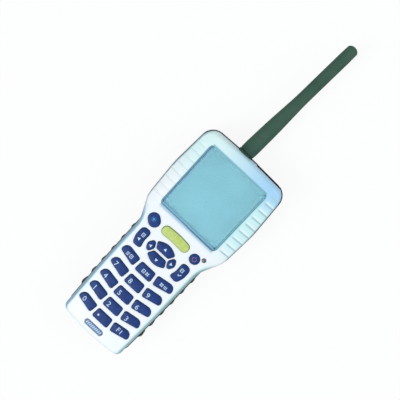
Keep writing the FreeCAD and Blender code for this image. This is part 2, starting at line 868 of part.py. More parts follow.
def all_keys():
    made = [key(label, *details) for label, details in KEYS.items()]
    for row, names in enumerate(ROW_NAMES):
        y = size("row_first") - size("row_pitch") * row
        made += [key(name, shape, flip, 0, y) for name, (shape, flip) in zip(names, ROW_SHAPES)]
    return made


# Openings in the end walls, shared by both shells
END = size("top_apex")
FOOT = size("foot_apex")


def cut_end_openings(body):
    over = size("cut_overrun")
    wall = size("side_wall") + size("rim_step") + over * 3
    antenna = new_sketch(body, f"{body.Label}_antenna_hole", "XZ_Plane", shift=(0, 0, -END - over))
    circle(antenna, size("antenna_x"), size("antenna_z"), size("collar_r") + size("end_gap"))
    pocket_along(body, antenna, wall)
    scan = new_sketch(body, f"{body.Label}_scan_hole", "XZ_Plane", shift=(0, 0, -END - over))
    half, high = size("scan_wide") / 2, size("scan_high") / 2
    middle = size("scan_x")
    rectangle(scan, middle - half, middle + half, SEAM - high, SEAM + high)
    pocket_along(body, scan, wall + over)


def pocket_along(body, sketch, length):
    """Cuts from the top end towards the foot, against the way the sketch faces."""
    return pocket(body, sketch, length, up=True)


# Rear housing
def rear_case():
    body = new_body("rear_case")
    outline = new_sketch(body, "rear_outline", shift=(0, 0, SEAM))
    body_outline(outline, size("rim_step"))
    shell = pad(body, outline, SEAM, down=True, draft=size("rear_draft"))
    doc.recompute()
    back = [
        f"Edge{number}" for number, edge in enumerate(shell.Shape.Edges, 1)
        if edge.BoundBox.ZMax < 0.01
    ]
    rounding = body.newObject("PartDesign::Fillet", "rear_edge")
    rounding.Base = (shell, back)
    rounding.Refine = False
    bind(rounding, "Radius", size("rear_edge_round"))
    doc.recompute()
    hollow_rear(body)
    add_rear_walls(body)
    cut_battery_bay(body)
    cut_rear_screws(body)
    cut_end_openings(body)
    cut_foot_opening(body)
    cut_grip_seats(body)
    return body


def hollow_rear(body):
    wall = size("side_wall")
    upper = new_sketch(body, "rear_upper_hollow", shift=(0, 0, SEAM))
    body_outline(upper, -wall)
    pocket(body, upper, SEAM / 2)
    lower = new_sketch(body, "rear_lower_hollow", shift=(0, 0, SEAM))
    body_outline(lower, -wall - size("edge_margin"))
    pocket(body, lower, SEAM - size("back_wall"))
    seat = new_sketch(body, "gasket_seat", shift=(0, 0, SEAM))
    body_outline(seat, -wall + size("seal_width"))
    pocket(body, seat, size("seal_high"))


def add_rear_walls(body):
    low = size("back_wall") - size("pad_overlap") * 2
    reach = size("door_half") + size("door_gap") + size("pin_reach") + size("bay_wall")
    frame = new_sketch(body, "door_frame", shift=(0, 0, low))
    rectangle(
        frame, -reach, reach, size("door_foot_y") - size("bay_wall"),
        size("hinge_y") + size("barrel_r") + size("bay_wall"))
    pad(body, frame, size("frame_height") - low)
    tub = new_sketch(body, "battery_tub", shift=(0, 0, low))
    half = size("bay_half") + size("bay_wall")
    rectangle(
        tub, -half, half, size("bay_foot_y") - size("bay_wall"), size("bay_top_y") + size("bay_wall"))
    pad(body, tub, size("bay_deep") + size("bay_wall") - low)
    block = new_sketch(body, "hinge_block", shift=(0, 0, low))
    barrel = size("barrel_r") + size("door_gap")
    rectangle(
        block, -reach, reach, size("hinge_y") - barrel, size("hinge_y") + barrel + size("bay_wall"))
    pad(body, block, size("hinge_z") + barrel + size("bay_wall") - low)
    bosses = new_sketch(body, "rear_bosses", shift=(0, 0, low))
    for x, y in both_sides(CASE_SCREWS):
        circle(bosses, x, y, size("boss_r"))
    pad(body, bosses, SEAM - low)
    doc.recompute()


def cut_battery_bay(body):
    gap, half = size("door_gap"), size("door_half")
    seat = new_sketch(body, "door_seat")
    rectangle(seat, -half - gap, half + gap, size("door_foot_y") - gap, size("hinge_y"))
    pocket(body, seat, size("door_thick") + size("fit"), up=True)
    bay = new_sketch(body, "battery_bay")
    rectangle(
        bay, -size("bay_half"), size("bay_half"), size("bay_foot_y"), size("bay_top_y"))
    pocket(body, bay, size("bay_deep"), up=True)
    barrel = new_sketch(body, "barrel_groove", "YZ_Plane", shift=(0, 0, -half - gap))
    circle(barrel, size("hinge_y"), size("hinge_z"), size("barrel_r") + gap)
    pocket(body, barrel, half * 2 + gap * 2, up=True)
    mouth = new_sketch(body, "barrel_mouth")
    reach = size("barrel_r") + gap
    rectangle(mouth, -half - gap, half + gap, size("hinge_y") - reach, size("hinge_y") + reach)
    pocket(body, mouth, size("hinge_z"), up=True)
    pins = new_sketch(body, "hinge_bores", "YZ_Plane", shift=(0, 0, -half - gap - size("pin_reach")))
    circle(pins, size("hinge_y"), size("hinge_z"), size("hinge_pin_r") + size("hinge_pin_play"))
    pocket(body, pins, (half + gap + size("pin_reach")) * 2, up=True)
    lock = new_sketch(body, "lock_hole")
    circle(lock, 0, size("lock_y"), size("lock_shank_r") + size("lock_hole_play"))
    pocket(body, lock, size("lock_reach") + size("cut_overrun"), up=True)
    over = size("cut_overrun")
    back = size("bay_top_y") + size("bay_wall") + over
    wall = new_sketch(body, "contact_window", "XZ_Plane", shift=(0, 0, -back))
    reach = size("contact_half") + size("fit")
    rectangle(
        wall, -reach, reach, size("contact_low") - size("fit"), size("contact_high") + size("fit"))
    pocket_along(body, wall, size("bay_wall") + over * 2)


def cut_rear_screws(body):
    heads = new_sketch(body, "screw_recesses")
    holes = new_sketch(body, "screw_holes")
    for x, y in both_sides(CASE_SCREWS):
        circle(heads, x, y, size("screw_head_r") + size("fit") * 2)
        circle(holes, x, y, size("screw_r") + size("fit") * 2)
    pocket(body, heads, size("screw_recess"), up=True)
    pocket(body, holes, SEAM, up=True)


def cut_foot_opening(body):
    over = size("cut_overrun") * 2
    opening = new_sketch(body, "charge_opening", "XZ_Plane", shift=(0, 0, -FOOT + over))
    reach = size("charge_half") + size("fit")
    rectangle(
        opening, -reach, reach, size("charge_low") - size("fit"), size("charge_high") + size("fit"))
    pocket(body, opening, size("side_wall") + size("edge_margin") + over)


def cut_grip_seats(body):
    gap = size("fit") * 1.5
    for side, name in ((1, "right"), (-1, "left")):
        seat = new_sketch(body, f"{name}_grip_seat", "YZ_Plane", shift=(0, 0, size("grip_seat_x") * side))
        rectangle(
            seat, size("grip_foot_y") - gap, size("grip_top_y") + gap,
            size("grip_low") - gap, size("grip_high") + gap)
        pocket(body, seat, size("grip_thick") * 3, up=side == 1)


# Trim, seals and display
def badge_plate():
    body = new_body("badge_plate")
    outline = new_sketch(body, "badge_outline")
    pill(outline, size("badge_length"), size("badge_width"))
    pad(body, outline, size("badge_thick"))
    place(body, 0, size("badge_y"), FACE - size("badge_sink"))
    return body


def status_led():
    body = new_body("status_led")
    rim = new_sketch(body, "led_rim")
    circle(rim, 0, 0, size("led_r") + size("led_rim"))
    pad(body, rim, size("key_flange_thick"))
    lens = new_sketch(body, "led_lens")
    circle(lens, 0, 0, size("led_r"))
    pad(body, lens, FACE - FLANGE_LOW + size("led_proud"))
    legs = new_sketch(body, "led_legs")
    circle(legs, 0, 0, size("led_leg_r"))
    pad(body, legs, FLANGE_LOW - BOARD_TOP, down=True)
    place(body, size("led_x"), size("led_y"), FLANGE_LOW)
    return body


def ring(body, name, outer, inner, low, length):
    """A flat frame: one outline raised and a smaller one cut out of it."""
    outside = new_sketch(body, f"{name}_outside", shift=(0, 0, low))
    outer(outside)
    pad(body, outside, length)
    inside = new_sketch(body, f"{name}_inside", shift=(0, 0, low))
    inner(inside)
    pocket(body, inside, length, up=True)


def seam_gasket():
    body = new_body("seam_gasket")
    wall, play = size("side_wall"), size("fit")
    ring(
        body, "seal",
        lambda sketch: body_outline(sketch, -wall + size("seal_width") - play),
        lambda sketch: body_outline(sketch, -wall + play),
        SEAM - size("seal_high"), size("seal_high"))
    cut_end_openings(body)
    return body


def pane_outline(sketch, inset=0):
    half = size("window_width") / 2 + size("pane_lap") - inset
    long = size("window_length") / 2 + size("pane_lap") - inset
    window_outline(sketch, half, long, size("window_y"), size("window_round"))


def display_window():
    body = new_body("display_window")
    outline = new_sketch(body, "pane_outline")
    pane_outline(outline)
    pad(body, outline, size("pane_thick"))
    place(body, 0, 0, INNER_FACE - size("pane_thick"))
    return body


GASKET_LOW = INNER_FACE - size("pane_thick") - size("gasket_thick")


def display_gasket():
    body = new_body("display_gasket")
    ring(
        body, "gasket", pane_outline,
        lambda sketch: pane_outline(sketch, size("gasket_width")),
        GASKET_LOW, size("gasket_thick"))
    return body


def lcd_panel():
    body = new_body("lcd_panel")
    outline = new_sketch(body, "lcd_outline")
    pane_outline(outline, size("gasket_width") / 4)
    pad(body, outline, GASKET_LOW - BOARD_TOP)
    place(body, 0, 0, BOARD_TOP)
    return body


def keypad_mat():
    body = new_body("keypad_mat")
    outline = new_sketch(body, "mat_outline")
    half = size("grip_half") - size("side_wall") - size("inner_margin")
    head = size("light_key_y") + size("mat_head_margin")
    foot = ROW_LOW - size("row_pitch") / 2
    rectangle(outline, -half, half, foot, head)
    pad(body, outline, size("mat_thick"))
    doc.recompute()
    notch = new_sketch(body, "led_notch")
    circle(notch, size("led_x"), size("led_y"), size("led_leg_r") + size("key_gap") * 2)
    pocket(body, notch, size("mat_thick"), up=True)
    place(body, 0, 0, BOARD_TOP)
    return body


def main_board():
    body = new_body("main_board")
    outline = new_sketch(body, "board_outline")
    head = size("window_width") / 2 + size("pane_lap")
    grip = size("grip_half") - size("side_wall") - size("inner_margin")
    half = [
        (head, size("board_head_y")), (head, size("board_neck_y")), (grip, size("board_grip_y")),
        (grip, size("board_turn_y")), (size("board_tail_x"), size("board_turn_y")),
        (size("board_tail_x"), size("board_tail_y")),
    ]
    polygon(outline, half + [(-x, y) for x, y in reversed(half)])
    pad(body, outline, size("board_thick"))
    doc.recompute()
    holes = new_sketch(body, "board_holes")
    for x, y in both_sides(BOARD_POSTS):
        circle(holes, x, y, size("post_screw_r") + size("fit"))
    pocket(body, holes, size("board_thick"), up=True)
    place(body, 0, 0, BOARD_LOW)
    return body


# A screw's slot as shares of the radius and height of its head, and how far its shank runs into it
SLOT_LONG = 0.7
SLOT_WIDE = 0.16
SLOT_DEEP = 0.5
SHANK_ROOT = 0.2


def screws(label, places, radius, head_radius, head_high, shank_low, shank_top):
    """A set of like screws whose heads are below the shank."""
    body = new_body(label)
    heads = new_sketch(body, f"{label}_heads", shift=(0, 0, shank_low - head_high))
    shanks = new_sketch(body, f"{label}_shanks", shift=(0, 0, shank_low - SHANK_ROOT))
    slots = new_sketch(body, f"{label}_slots", shift=(0, 0, shank_low - head_high))
    for x, y in both_sides(places):
        circle(heads, x, y, head_radius)
        circle(shanks, x, y, radius)
        long, wide = head_radius * SLOT_LONG, head_radius * SLOT_WIDE
        rectangle(slots, x - long, x + long, y - wide, y + wide)
    pad(body, heads, head_high)
    pad(body, shanks, shank_top - shank_low + SHANK_ROOT)
    doc.recompute()
    pocket(body, slots, head_high * SLOT_DEEP, up=True)
    return body


def case_screws():
    return screws(
        "case_screws", CASE_SCREWS, size("screw_r") - size("thread_play"), size("screw_head_r"),
        size("screw_head_high"), size("screw_recess"), SEAM + size("screw_bite"))


def board_screws():
    return screws(
        "board_screws", BOARD_POSTS, size("post_screw_r") - size("thread_play"), size("post_screw_head_r"),
        size("post_screw_head_high"), BOARD_LOW, BOARD_TOP + size("post_screw_bite"))


def buzzer():
    body = new_body("buzzer")
    can = new_sketch(body, "buzzer_can")
    circle(can, 0, 0, size("buzzer_r"))
    pad(body, can, size("buzzer_high"))
    place(body, size("buzzer_x"), size("buzzer_y"), BOARD_LOW - size("buzzer_high"))
    return body


# Scanner in the top end
def scan_window():
    body = new_body("scan_window")
    pane = new_sketch(body, "scan_pane", "XZ_Plane")
    half = size("scan_wide") / 2 - size("fit")
    high = size("scan_high") / 2 - size("fit")
    rectangle(pane, -half, half, -high, high)
    pad(body, pane, size("scan_pane"))
    place(body, size("scan_x"), size("top_corner_y") - size("scan_pane_sink"), SEAM)
    return body


def scan_engine():
    body = new_body("scan_engine")
    outline = new_sketch(body, "engine_outline")
    half, long = size("scan_wide") / 2 - size("scan_engine_margin"), size("scan_engine_long")
    rectangle(outline, -half, half, -long, 0)
    pad(body, outline, BOARD_LOW - size("scan_engine_low"))
    pane_back = size("top_corner_y") - size("scan_pane_sink") - size("scan_pane")
    front = pane_back - size("scan_pane_sink")
    place(body, size("scan_x") - size("scan_engine_shift"), front, size("scan_engine_low"))
    return body


# Antenna on its leaning axis
def lean(body, along=0):
    """Puts a body's own Y axis on the antenna's axis, which leans in the plane of the seam."""
    place(body, size("antenna_x"), END + along, size("antenna_z"))
    turn = Rotation(Vector(0, 0, -1), DIMENSIONS["antenna_lean"])
    body.Placement = FreeCAD.Placement(body.Placement.Base, turn)
    body.setExpression("Placement.Rotation.Angle", "Sizes.antenna_lean")


def revolve(body, sketch, axis="V_Axis"):
    feature = body.newObject("PartDesign::Revolution", f"{sketch.Name}_turned")
    feature.Profile = sketch
    feature.ReferenceAxis = (sketch, [axis])
    feature.Angle = 360
    feature.Refine = False
    return feature


def antenna_connector():
    body = new_body("antenna_connector")
    profile = new_sketch(body, "connector_profile")
    out, inside = size("collar_out"), size("collar_long")
    polygon(profile, [
        (0, -inside), (size("collar_r"), -inside), (size("collar_r"), out), (size("stud_r"), out),
        (size("stud_r"), out + size("stud_long")), (0, out + size("stud_long")),
    ])
    revolve(body, profile)
    tail = new_sketch(body, "connector_tail")
    half = size("tail_half")
    rectangle(tail, -half, half, -inside - size("tail_long"), -inside + size("pad_overlap"))
    pad(body, tail, BOARD_LOW - size("antenna_z"))
    lean(body)
    return body


def antenna_whip():
    body = new_body("antenna_whip")
    profile = new_sketch(body, "whip_profile")
    bore = size("stud_r") + size("stud_play")
    deep = size("stud_long") + size("end_gap")
    base, middle, tip = size("antenna_base_r"), size("antenna_mid_r"), size("antenna_tip_r")
    long = size("antenna_length")
    bevel = size("antenna_foot_bevel")
    polygon(profile, [
        (0, deep), (bore, deep), (bore, 0), (base - bevel, 0), (base, bevel), (middle, size("antenna_step_y")),
        (tip, size("antenna_slim_y")), (tip, long), (0, long),
    ])
    sleeve = revolve(body, profile)
    doc.recompute()
    edges = []
    for number, edge in enumerate(sleeve.Shape.Edges, 1):
        if edge.BoundBox.YMin > long.value - 0.01 and edge.BoundBox.XMax > tip.value - 0.01:
            edges.append(f"Edge{number}")
    rounding = body.newObject("PartDesign::Fillet", "antenna_tip")
    rounding.Base = (sleeve, edges)
    rounding.Refine = False
    bind(rounding, "Radius", size("antenna_tip_round"))
    lean(body, size("collar_out") + size("fit"))
    return body


# Battery, door and lock
def battery_door():
    body = new_body("battery_door")
    half = size("door_half")
    plate = new_sketch(body, "door_plate")
    rectangle(plate, -half, half, size("door_foot_y"), size("hinge_y"))
    pad(body, plate, size("door_thick"))
    barrel = new_sketch(body, "door_barrel", "YZ_Plane", shift=(0, 0, -half))
    circle(barrel, size("hinge_y"), size("hinge_z"), size("barrel_r"))
    pad(body, barrel, half * 2)
    reach = half + size("door_gap") + size("pin_reach") - size("fit")
    pins = new_sketch(body, "door_pins", "YZ_Plane", shift=(0, 0, -reach))
    circle(pins, size("hinge_y"), size("hinge_z"), size("hinge_pin_r"))
    pad(body, pins, reach * 2)
    doc.recompute()
    head = new_sketch(body, "lock_recess")
    circle(head, 0, size("lock_y"), size("lock_r") + size("fit") * 2)
    pocket(body, head, size("lock_head") + size("fit"), up=True)
    hole = new_sketch(body, "lock_way")
    circle(hole, 0, size("lock_y"), size("lock_shank_r") + size("fit"))
    pocket(body, hole, size("door_thick"), up=True)
    return body


def door_screw():
    body = new_body("door_screw")
    head = new_sketch(body, "lock_head")
    circle(head, 0, 0, size("lock_r"))
    pad(body, head, size("lock_head"))
    shank = new_sketch(body, "lock_shank")
    circle(shank, 0, 0, size("lock_shank_r"))
    pad(body, shank, size("lock_reach"))
    doc.recompute()
    slot = new_sketch(body, "coin_slot")
    long, wide = size("lock_r") * 1.2, size("coin_slot_wide") / 2
    rectangle(slot, -long, long, -wide, wide)
    pocket(body, slot, size("lock_head") / 2, up=True)
    place(body, 0, size("lock_y"), 0)
    return body


def battery_pack():
    body = new_body("battery_pack")
    play = size("battery_play")
    outline = new_sketch(body, "pack_outline")
    half, long = size("bay_half") - play, size("bay_top_y") - size("bay_foot_y") - play * 2
    window_outline(outline, half, long / 2, as_size(0), size("pack_round"))
    pad(body, outline, size("bay_deep") - size("door_thick") - size("fit") * 4)
    place(body, 0, (size("bay_top_y") + size("bay_foot_y")) / 2, size("door_thick") + size("fit") * 2)
    return body


def battery_contacts():
    body = new_body("battery_contacts")
    block = new_sketch(body, "contact_block")
    half = size("contact_half")
    rectangle(block, -half, half, -size("battery_play") + size("fit"), size("bay_wall") + size("contact_back"))
    pad(body, block, size("contact_high") - size("contact_low"))
    place(body, 0, size("bay_top_y"), size("contact_low"))
    return body


def charge_contacts():
    body = new_body("charge_contacts")
    block = new_sketch(body, "charge_block")
    half = size("charge_half")
    sink, out, margin = size("charge_sink"), size("charge_pad_out"), size("charge_pad_margin")
    rectangle(block, -half, half, sink, size("side_wall") + sink)
    pad(body, block, size("charge_high") - size("charge_low"))
    pads = new_sketch(body, "charge_pads", shift=(0, 0, margin))
    count = DIMENSIONS["charge_pad_count"]
    for number in range(count):
        middle = half * ((number - (count - 1) / 2) * 2 / count)
        wide = half / (count * 2)
        rectangle(pads, middle - wide, middle + wide, out, sink + out)
    pad(body, pads, size("charge_high") - size("charge_low") - margin * 2)
    place(body, 0, FOOT, size("charge_low"))
    return body


# Rubber side grips with six ridges each, whose crest is a share of their width
RIDGE_CREST = 0.45


def grip(side, label):
    body = new_body(label)
    foot, top = size("grip_foot_y"), size("grip_top_y")
    slab = new_sketch(body, f"{label}_slab")
    rectangle(slab, 0, size("grip_thick") * side, foot, top)
    pad(body, slab, size("grip_high") - size("grip_low"))
    count, pitch = DIMENSIONS["ridge_count"], size("ridge_pitch")
    low = size("ridge_middle") - pitch * ((count - 1) / 2)
    ridge = new_sketch(body, f"{label}_ridge")
    half, thick, root = size("ridge_wide") / 2, size("grip_thick"), size("ridge_root")
    crest, out = half * RIDGE_CREST, thick + size("ridge_proud")
    polygon(ridge, [
        (root * side, low - half), (thick * side, low - half), (out * side, low - crest),
        (out * side, low + crest), (thick * side, low + half), (root * side, low + half),
    ])
    rise = pad(body, ridge, size("grip_high") - size("grip_low"))
    doc.recompute()
    repeat(body, rise, (ridge, ["V_Axis"]), pitch, count)
    place(body, size("grip_seat_x") * side, 0, size("grip_low"))
    return body


pieces = [
    front_case(), rear_case(), seam_gasket(), display_window(), display_gasket(), lcd_panel(), keypad_mat(),
    badge_plate(), status_led(), main_board(), case_screws(), board_screws(), buzzer(), scan_window(),
    scan_engine(), antenna_connector(), antenna_whip(), battery_door(), door_screw(), battery_pack(),
    battery_contacts(), charge_contacts(), grip(-1, "left_grip"), grip(1, "right_grip"),
]
pieces += all_keys()
doc.recompute()
os.makedirs("parts", exist_ok=True)
for item in doc.Objects:
    if "Invalid" in item.State or "Error" in item.State:
        raise ValueError(f"{item.Name} did not build: {item.State}")
for piece in pieces:
    if piece.Shape.isNull() or not piece.Shape.isValid():
        raise ValueError(f"{piece.Label} has no valid shape")
    piece.Shape.exportStep(f"parts/{piece.Label}.step")
print(len(pieces), "pieces are built, and together they fill",
      round(sum(piece.Shape.Volume for piece in pieces) / 1000, 1), "cubic centimetres")
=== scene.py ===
# %% [markdown]
# # A handheld data terminal
# The terminal lies on its back on a white table. Its shells, hinges and openings are already
# made at their real size. This lesson dresses them: it gives each surface its finish and builds
# again, as finer meshes, the pieces that a plain solid can't show well.
# Every length is in metres, in the terminal's own frame: X to the right of the screen, Y towards
# the antenna and Z out of the screen.

import json
import math

import bmesh
import bpy
from mathutils import Matrix, Vector
from mathutils.bvhtree import BVHTree


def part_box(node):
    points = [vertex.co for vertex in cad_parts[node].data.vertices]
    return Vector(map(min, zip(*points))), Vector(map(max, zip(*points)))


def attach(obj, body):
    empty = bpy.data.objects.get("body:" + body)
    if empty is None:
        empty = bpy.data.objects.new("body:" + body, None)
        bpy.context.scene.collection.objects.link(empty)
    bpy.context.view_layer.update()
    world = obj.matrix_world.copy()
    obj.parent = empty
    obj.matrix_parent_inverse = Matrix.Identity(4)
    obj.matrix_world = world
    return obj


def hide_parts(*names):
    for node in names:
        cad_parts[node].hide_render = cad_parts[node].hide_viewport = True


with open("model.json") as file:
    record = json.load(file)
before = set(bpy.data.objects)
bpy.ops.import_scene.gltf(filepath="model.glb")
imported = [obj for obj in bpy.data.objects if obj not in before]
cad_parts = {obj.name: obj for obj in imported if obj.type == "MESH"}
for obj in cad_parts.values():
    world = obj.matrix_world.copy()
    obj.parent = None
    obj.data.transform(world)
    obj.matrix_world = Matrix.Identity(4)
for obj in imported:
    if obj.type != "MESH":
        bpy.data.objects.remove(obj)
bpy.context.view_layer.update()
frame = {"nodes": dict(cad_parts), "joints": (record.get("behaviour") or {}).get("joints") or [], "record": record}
MM = 0.001
BODIES = frame["record"]["behaviour"]["bodies"]
BODY_OF = {node: body for body, nodes in BODIES.items() for node in nodes}

# %% [markdown]
# ## Camera
# The photograph looks down on the terminal from above its screen, with the handle towards the
# lower left. The place and the two directions were found by fitting the corners of the window
# and the middles of the keys. A square picture with a field of view of 40 degrees has the same
# perspective, and no lens shift is needed.

# %% Camera
FIELD_OF_VIEW = math.radians(40)
CAMERA_PLACE = Vector((1.87, 104.94, 395.50)) * MM
CAMERA_FORWARD = Vector((-0.0211, -0.1720, -0.9849))
CAMERA_UP = Vector((-0.6817, 0.7230, -0.1117))

lens = bpy.data.cameras.new("camera")
lens.sensor_fit = "HORIZONTAL"
lens.angle = FIELD_OF_VIEW
camera = bpy.data.objects.new("camera", lens)
bpy.context.scene.collection.objects.link(camera)
right = CAMERA_FORWARD.cross(CAMERA_UP).normalized()
upward = right.cross(CAMERA_FORWARD).normalized()
turn = Matrix((right, upward, -CAMERA_FORWARD.normalized())).transposed()
camera.matrix_world = Matrix.Translation(CAMERA_PLACE) @ turn.to_4x4()
bpy.context.scene.camera = camera
bpy.context.scene.view_settings.view_transform = "Standard"
print("the camera stands", round(CAMERA_PLACE.z / MM), "mm above the table")

# %% [markdown]
# ## Node helpers
# A finish is a small tree of nodes. A few helpers keep each tree short: one adds a node and
# fills its sockets, others mix two colours, make a smooth step between two places, read the way a
# surface faces, or make a bump from a fine noise. Noise reads Object coordinates, so a grain keeps
# its real size on every piece.


# %% Helpers for finishes
def add(tree, kind, inputs=(), **settings):
    """A new node, with sockets filled from (name or number, value or output) pairs."""
    node = tree.nodes.new(kind)
    for key, value in settings.items():
        setattr(node, key, value)
    for key, value in inputs:
        if isinstance(value, bpy.types.NodeSocket):
            tree.links.new(value, node.inputs[key])
        else:
            node.inputs[key].default_value = value
    return node


def places(tree, centre=(0, 0, 0)):
    """Object coordinates measured from a centre."""
    source = add(tree, "ShaderNodeTexCoord").outputs["Object"]
    shift = [-amount for amount in centre]
    return add(tree, "ShaderNodeMapping", [("Vector", source), ("Location", shift)]).outputs[0]


def split_places(tree, centre=(0, 0, 0)):
    """The X, Y and Z of the places."""
    return add(tree, "ShaderNodeSeparateXYZ", [("Vector", places(tree, centre))]).outputs


def speckle(tree, size, detail=2.0):
    """A noise whose spots are about this many metres across."""
    inputs = [("Vector", places(tree)), ("Scale", 1 / size), ("Detail", detail)]
    return add(tree, "ShaderNodeTexNoise", inputs).outputs["Fac"]


def blend_colours(tree, amount, first, second, low=0.35, high=0.65):
    """One colour turning into another as an amount goes from low to high."""
    ramp = add(tree, "ShaderNodeValToRGB", [("Fac", amount)])
    stops = ramp.color_ramp.elements
    stops[0].position, stops[1].position = low, high
    stops[0].color, stops[1].color = (*first, 1), (*second, 1)
    return ramp.outputs["Color"]


def calculate(tree, operation, *values):
    """A sum, product or other result of values or outputs."""
    node = add(tree, "ShaderNodeMath", list(enumerate(values)), operation=operation)
    return node.outputs[0]


def times(tree, first, *others):
    """The product of several values or outputs."""
    for other in others:
        first = calculate(tree, "MULTIPLY", first, other)
    return first


def rising(tree, amount, low, high, top=1.0):
    """An amount that rises smoothly from 0 to a top value between two places."""
    inputs = [("Value", amount), ("From Min", low), ("From Max", high), ("To Max", top)]
    return add(tree, "ShaderNodeMapRange", inputs, interpolation_type="SMOOTHSTEP").outputs["Result"]


def facing(tree):
    """How much a surface faces along X, Y and Z of the terminal, each from -1 to 1."""
    source = add(tree, "ShaderNodeTexCoord").outputs["Normal"]
    return add(tree, "ShaderNodeSeparateXYZ", [("Vector", source)]).outputs


def mixed_colour(tree, amount, first, second, blend="MIX"):
    """A mix of two colours, each a fixed one or an output."""
    pair = [(*colour, 1) if isinstance(colour, tuple) else colour for colour in (first, second)]
    inputs = [(0, amount), (6, pair[0]), (7, pair[1])]
    return add(tree, "ShaderNodeMix", inputs, data_type="RGBA", blend_type=blend).outputs[2]


def colour_steps(tree, amount, steps):
    """A colour that passes through several (place, colour) steps."""
    ramp = add(tree, "ShaderNodeValToRGB", [("Fac", amount)])
    stops = ramp.color_ramp.elements
    while len(stops) < len(steps):
        stops.new(0.5)
    for stop, (place, colour) in zip(stops, steps):
        stop.position, stop.color = place, (*colour, 1)
    return ramp.outputs["Color"]


def grain(tree, size, depth, detail=3.0):
    """A fine eroded surface, as a mould leaves it."""
    inputs = [("Height", speckle(tree, size, detail)), ("Distance", depth), ("Strength", 1.0)]
    return add(tree, "ShaderNodeBump", inputs).outputs["Normal"]


def spread(tree, amount, low, high):
    """An amount from 0 to 1 turned into one between two values."""
    inputs = [("Value", amount), ("To Min", low), ("To Max", high)]
    return add(tree, "ShaderNodeMapRange", inputs).outputs["Result"]


def new_finish(name, **sockets):
    """A material and its tree, with constant values set on the shader's own sockets."""
    material = bpy.data.materials.new(name)
    material.use_nodes = True
    tree = material.node_tree
    surface = tree.nodes["Principled BSDF"]
    for key, value in sockets.items():
        surface.inputs[key.replace("_", " ")].default_value = value
    return material, tree, surface


def join(tree, surface, **outputs):
    """Links outputs to the shader's sockets of the same names."""
    for key, output in outputs.items():
        tree.links.new(output, surface.inputs[key.replace("_", " ")])


def moulded(name, colour, worn, rough, grain_size, grain_depth, patch=14 * MM, edge=None, **sockets):
    """Moulded plastic or rubber: two close colours in patches, and a grain in colour and gloss.
    An edge colour paints shade where the surface turns away from the top."""
    material, tree, surface = new_finish(name, **sockets)
    tone = blend_colours(tree, speckle(tree, patch, 4.0), colour, worn)
    if edge:
        # Painted shade where the surface turns away from the top.
        tone = mixed_colour(tree, rising(tree, facing(tree)["Z"], 0.98, 0.6), tone, edge)
    gloss = spread(tree, speckle(tree, patch / 3), rough - 0.06, rough + 0.06)
    join(tree, surface, Base_Color=tone, Roughness=gloss, Normal=grain(tree, grain_size, grain_depth))
    return material


print("helpers for finishes are ready")

# %% [markdown]
# ## White front plastic
# The front is a glossy white moulding. Its flat field is plain white. Towards the antenna it is
# painted pale cyan, and periwinkle at the right end of the top, as shade and reflection on the
# sloping shoulders and top. The flanks, which drop from the face to the joint of the shells, are
# painted grey-blue shade. Coloured light would give such tints too, but then they would slide over
# the terminal when it turns. Here the painted shade follows the place on the terminal and the way
# the surface faces, so it stays where it is.

# %% Front colours
WINDOW_LOW, WINDOW_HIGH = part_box("display_window")
OPENING_MIDDLE = (WINDOW_LOW + WINDOW_HIGH) / 2
PANE_LAP = 1.5 * MM
BEVEL = 0.8 * MM
OPENING_HALF = (WINDOW_HIGH - WINDOW_LOW) / 2 - Vector((PANE_LAP, PANE_LAP, 0))
WINDOW_TOP = OPENING_MIDDLE.y + OPENING_HALF.y + BEVEL
WINDOW_FOOT = OPENING_MIDDLE.y - OPENING_HALF.y - BEVEL
WHITE = (0.93, 0.955, 0.965)
# Painted shade and reflection: the shoulders and the top slope turn cyan towards the antenna, and periwinkle at
# the top's right end.
HEAD_LEFT_SHADE = (0.75, 0.93, 0.93)
HEAD_RIGHT_SHADE = (0.64, 0.91, 0.92)
TOP_LEFT_SHADE = (0.76, 0.95, 0.93)
TOP_RIGHT_SHADE = (0.41, 0.69, 0.93)
# Painted shade on the window's bevel by the side it faces, darkest at the foot, a painted shade line beside it,
# and a paler wall that lifts the shade in the well.
BEVEL_SHADE_LEFT = (0.17, 0.36, 0.48)
BEVEL_SHADE_RIGHT = (0.16, 0.42, 0.50)
BEVEL_SHADE_FOOT = (0.10, 0.20, 0.31)
BEVEL_SHADE_TOP = (0.22, 0.51, 0.60)
WALL_PAINTED_LIGHT = (0.56, 0.80, 0.90)
FOOT_SHADE_LINE = (0.28, 0.50, 0.70)
PLAIN = (1.0, 1.0, 1.0)
UPPER_SHADE = (0.76, 0.88, 0.82)
TO_TOP = (58 * MM, 78 * MM)
TO_HEAD_LEFT = (30 * MM, 66 * MM)
TO_HEAD_RIGHT = (14 * MM, 40 * MM)
ACROSS_FACE = (-28 * MM, 26 * MM)
ACROSS_FLANKS = (-20 * MM, 20 * MM)
PAST_FIELD = (11 * MM, 17 * MM)
HANDLE_TO_HEAD = (6 * MM, 18 * MM)
UP_HANDLE = (-50 * MM, -15 * MM)
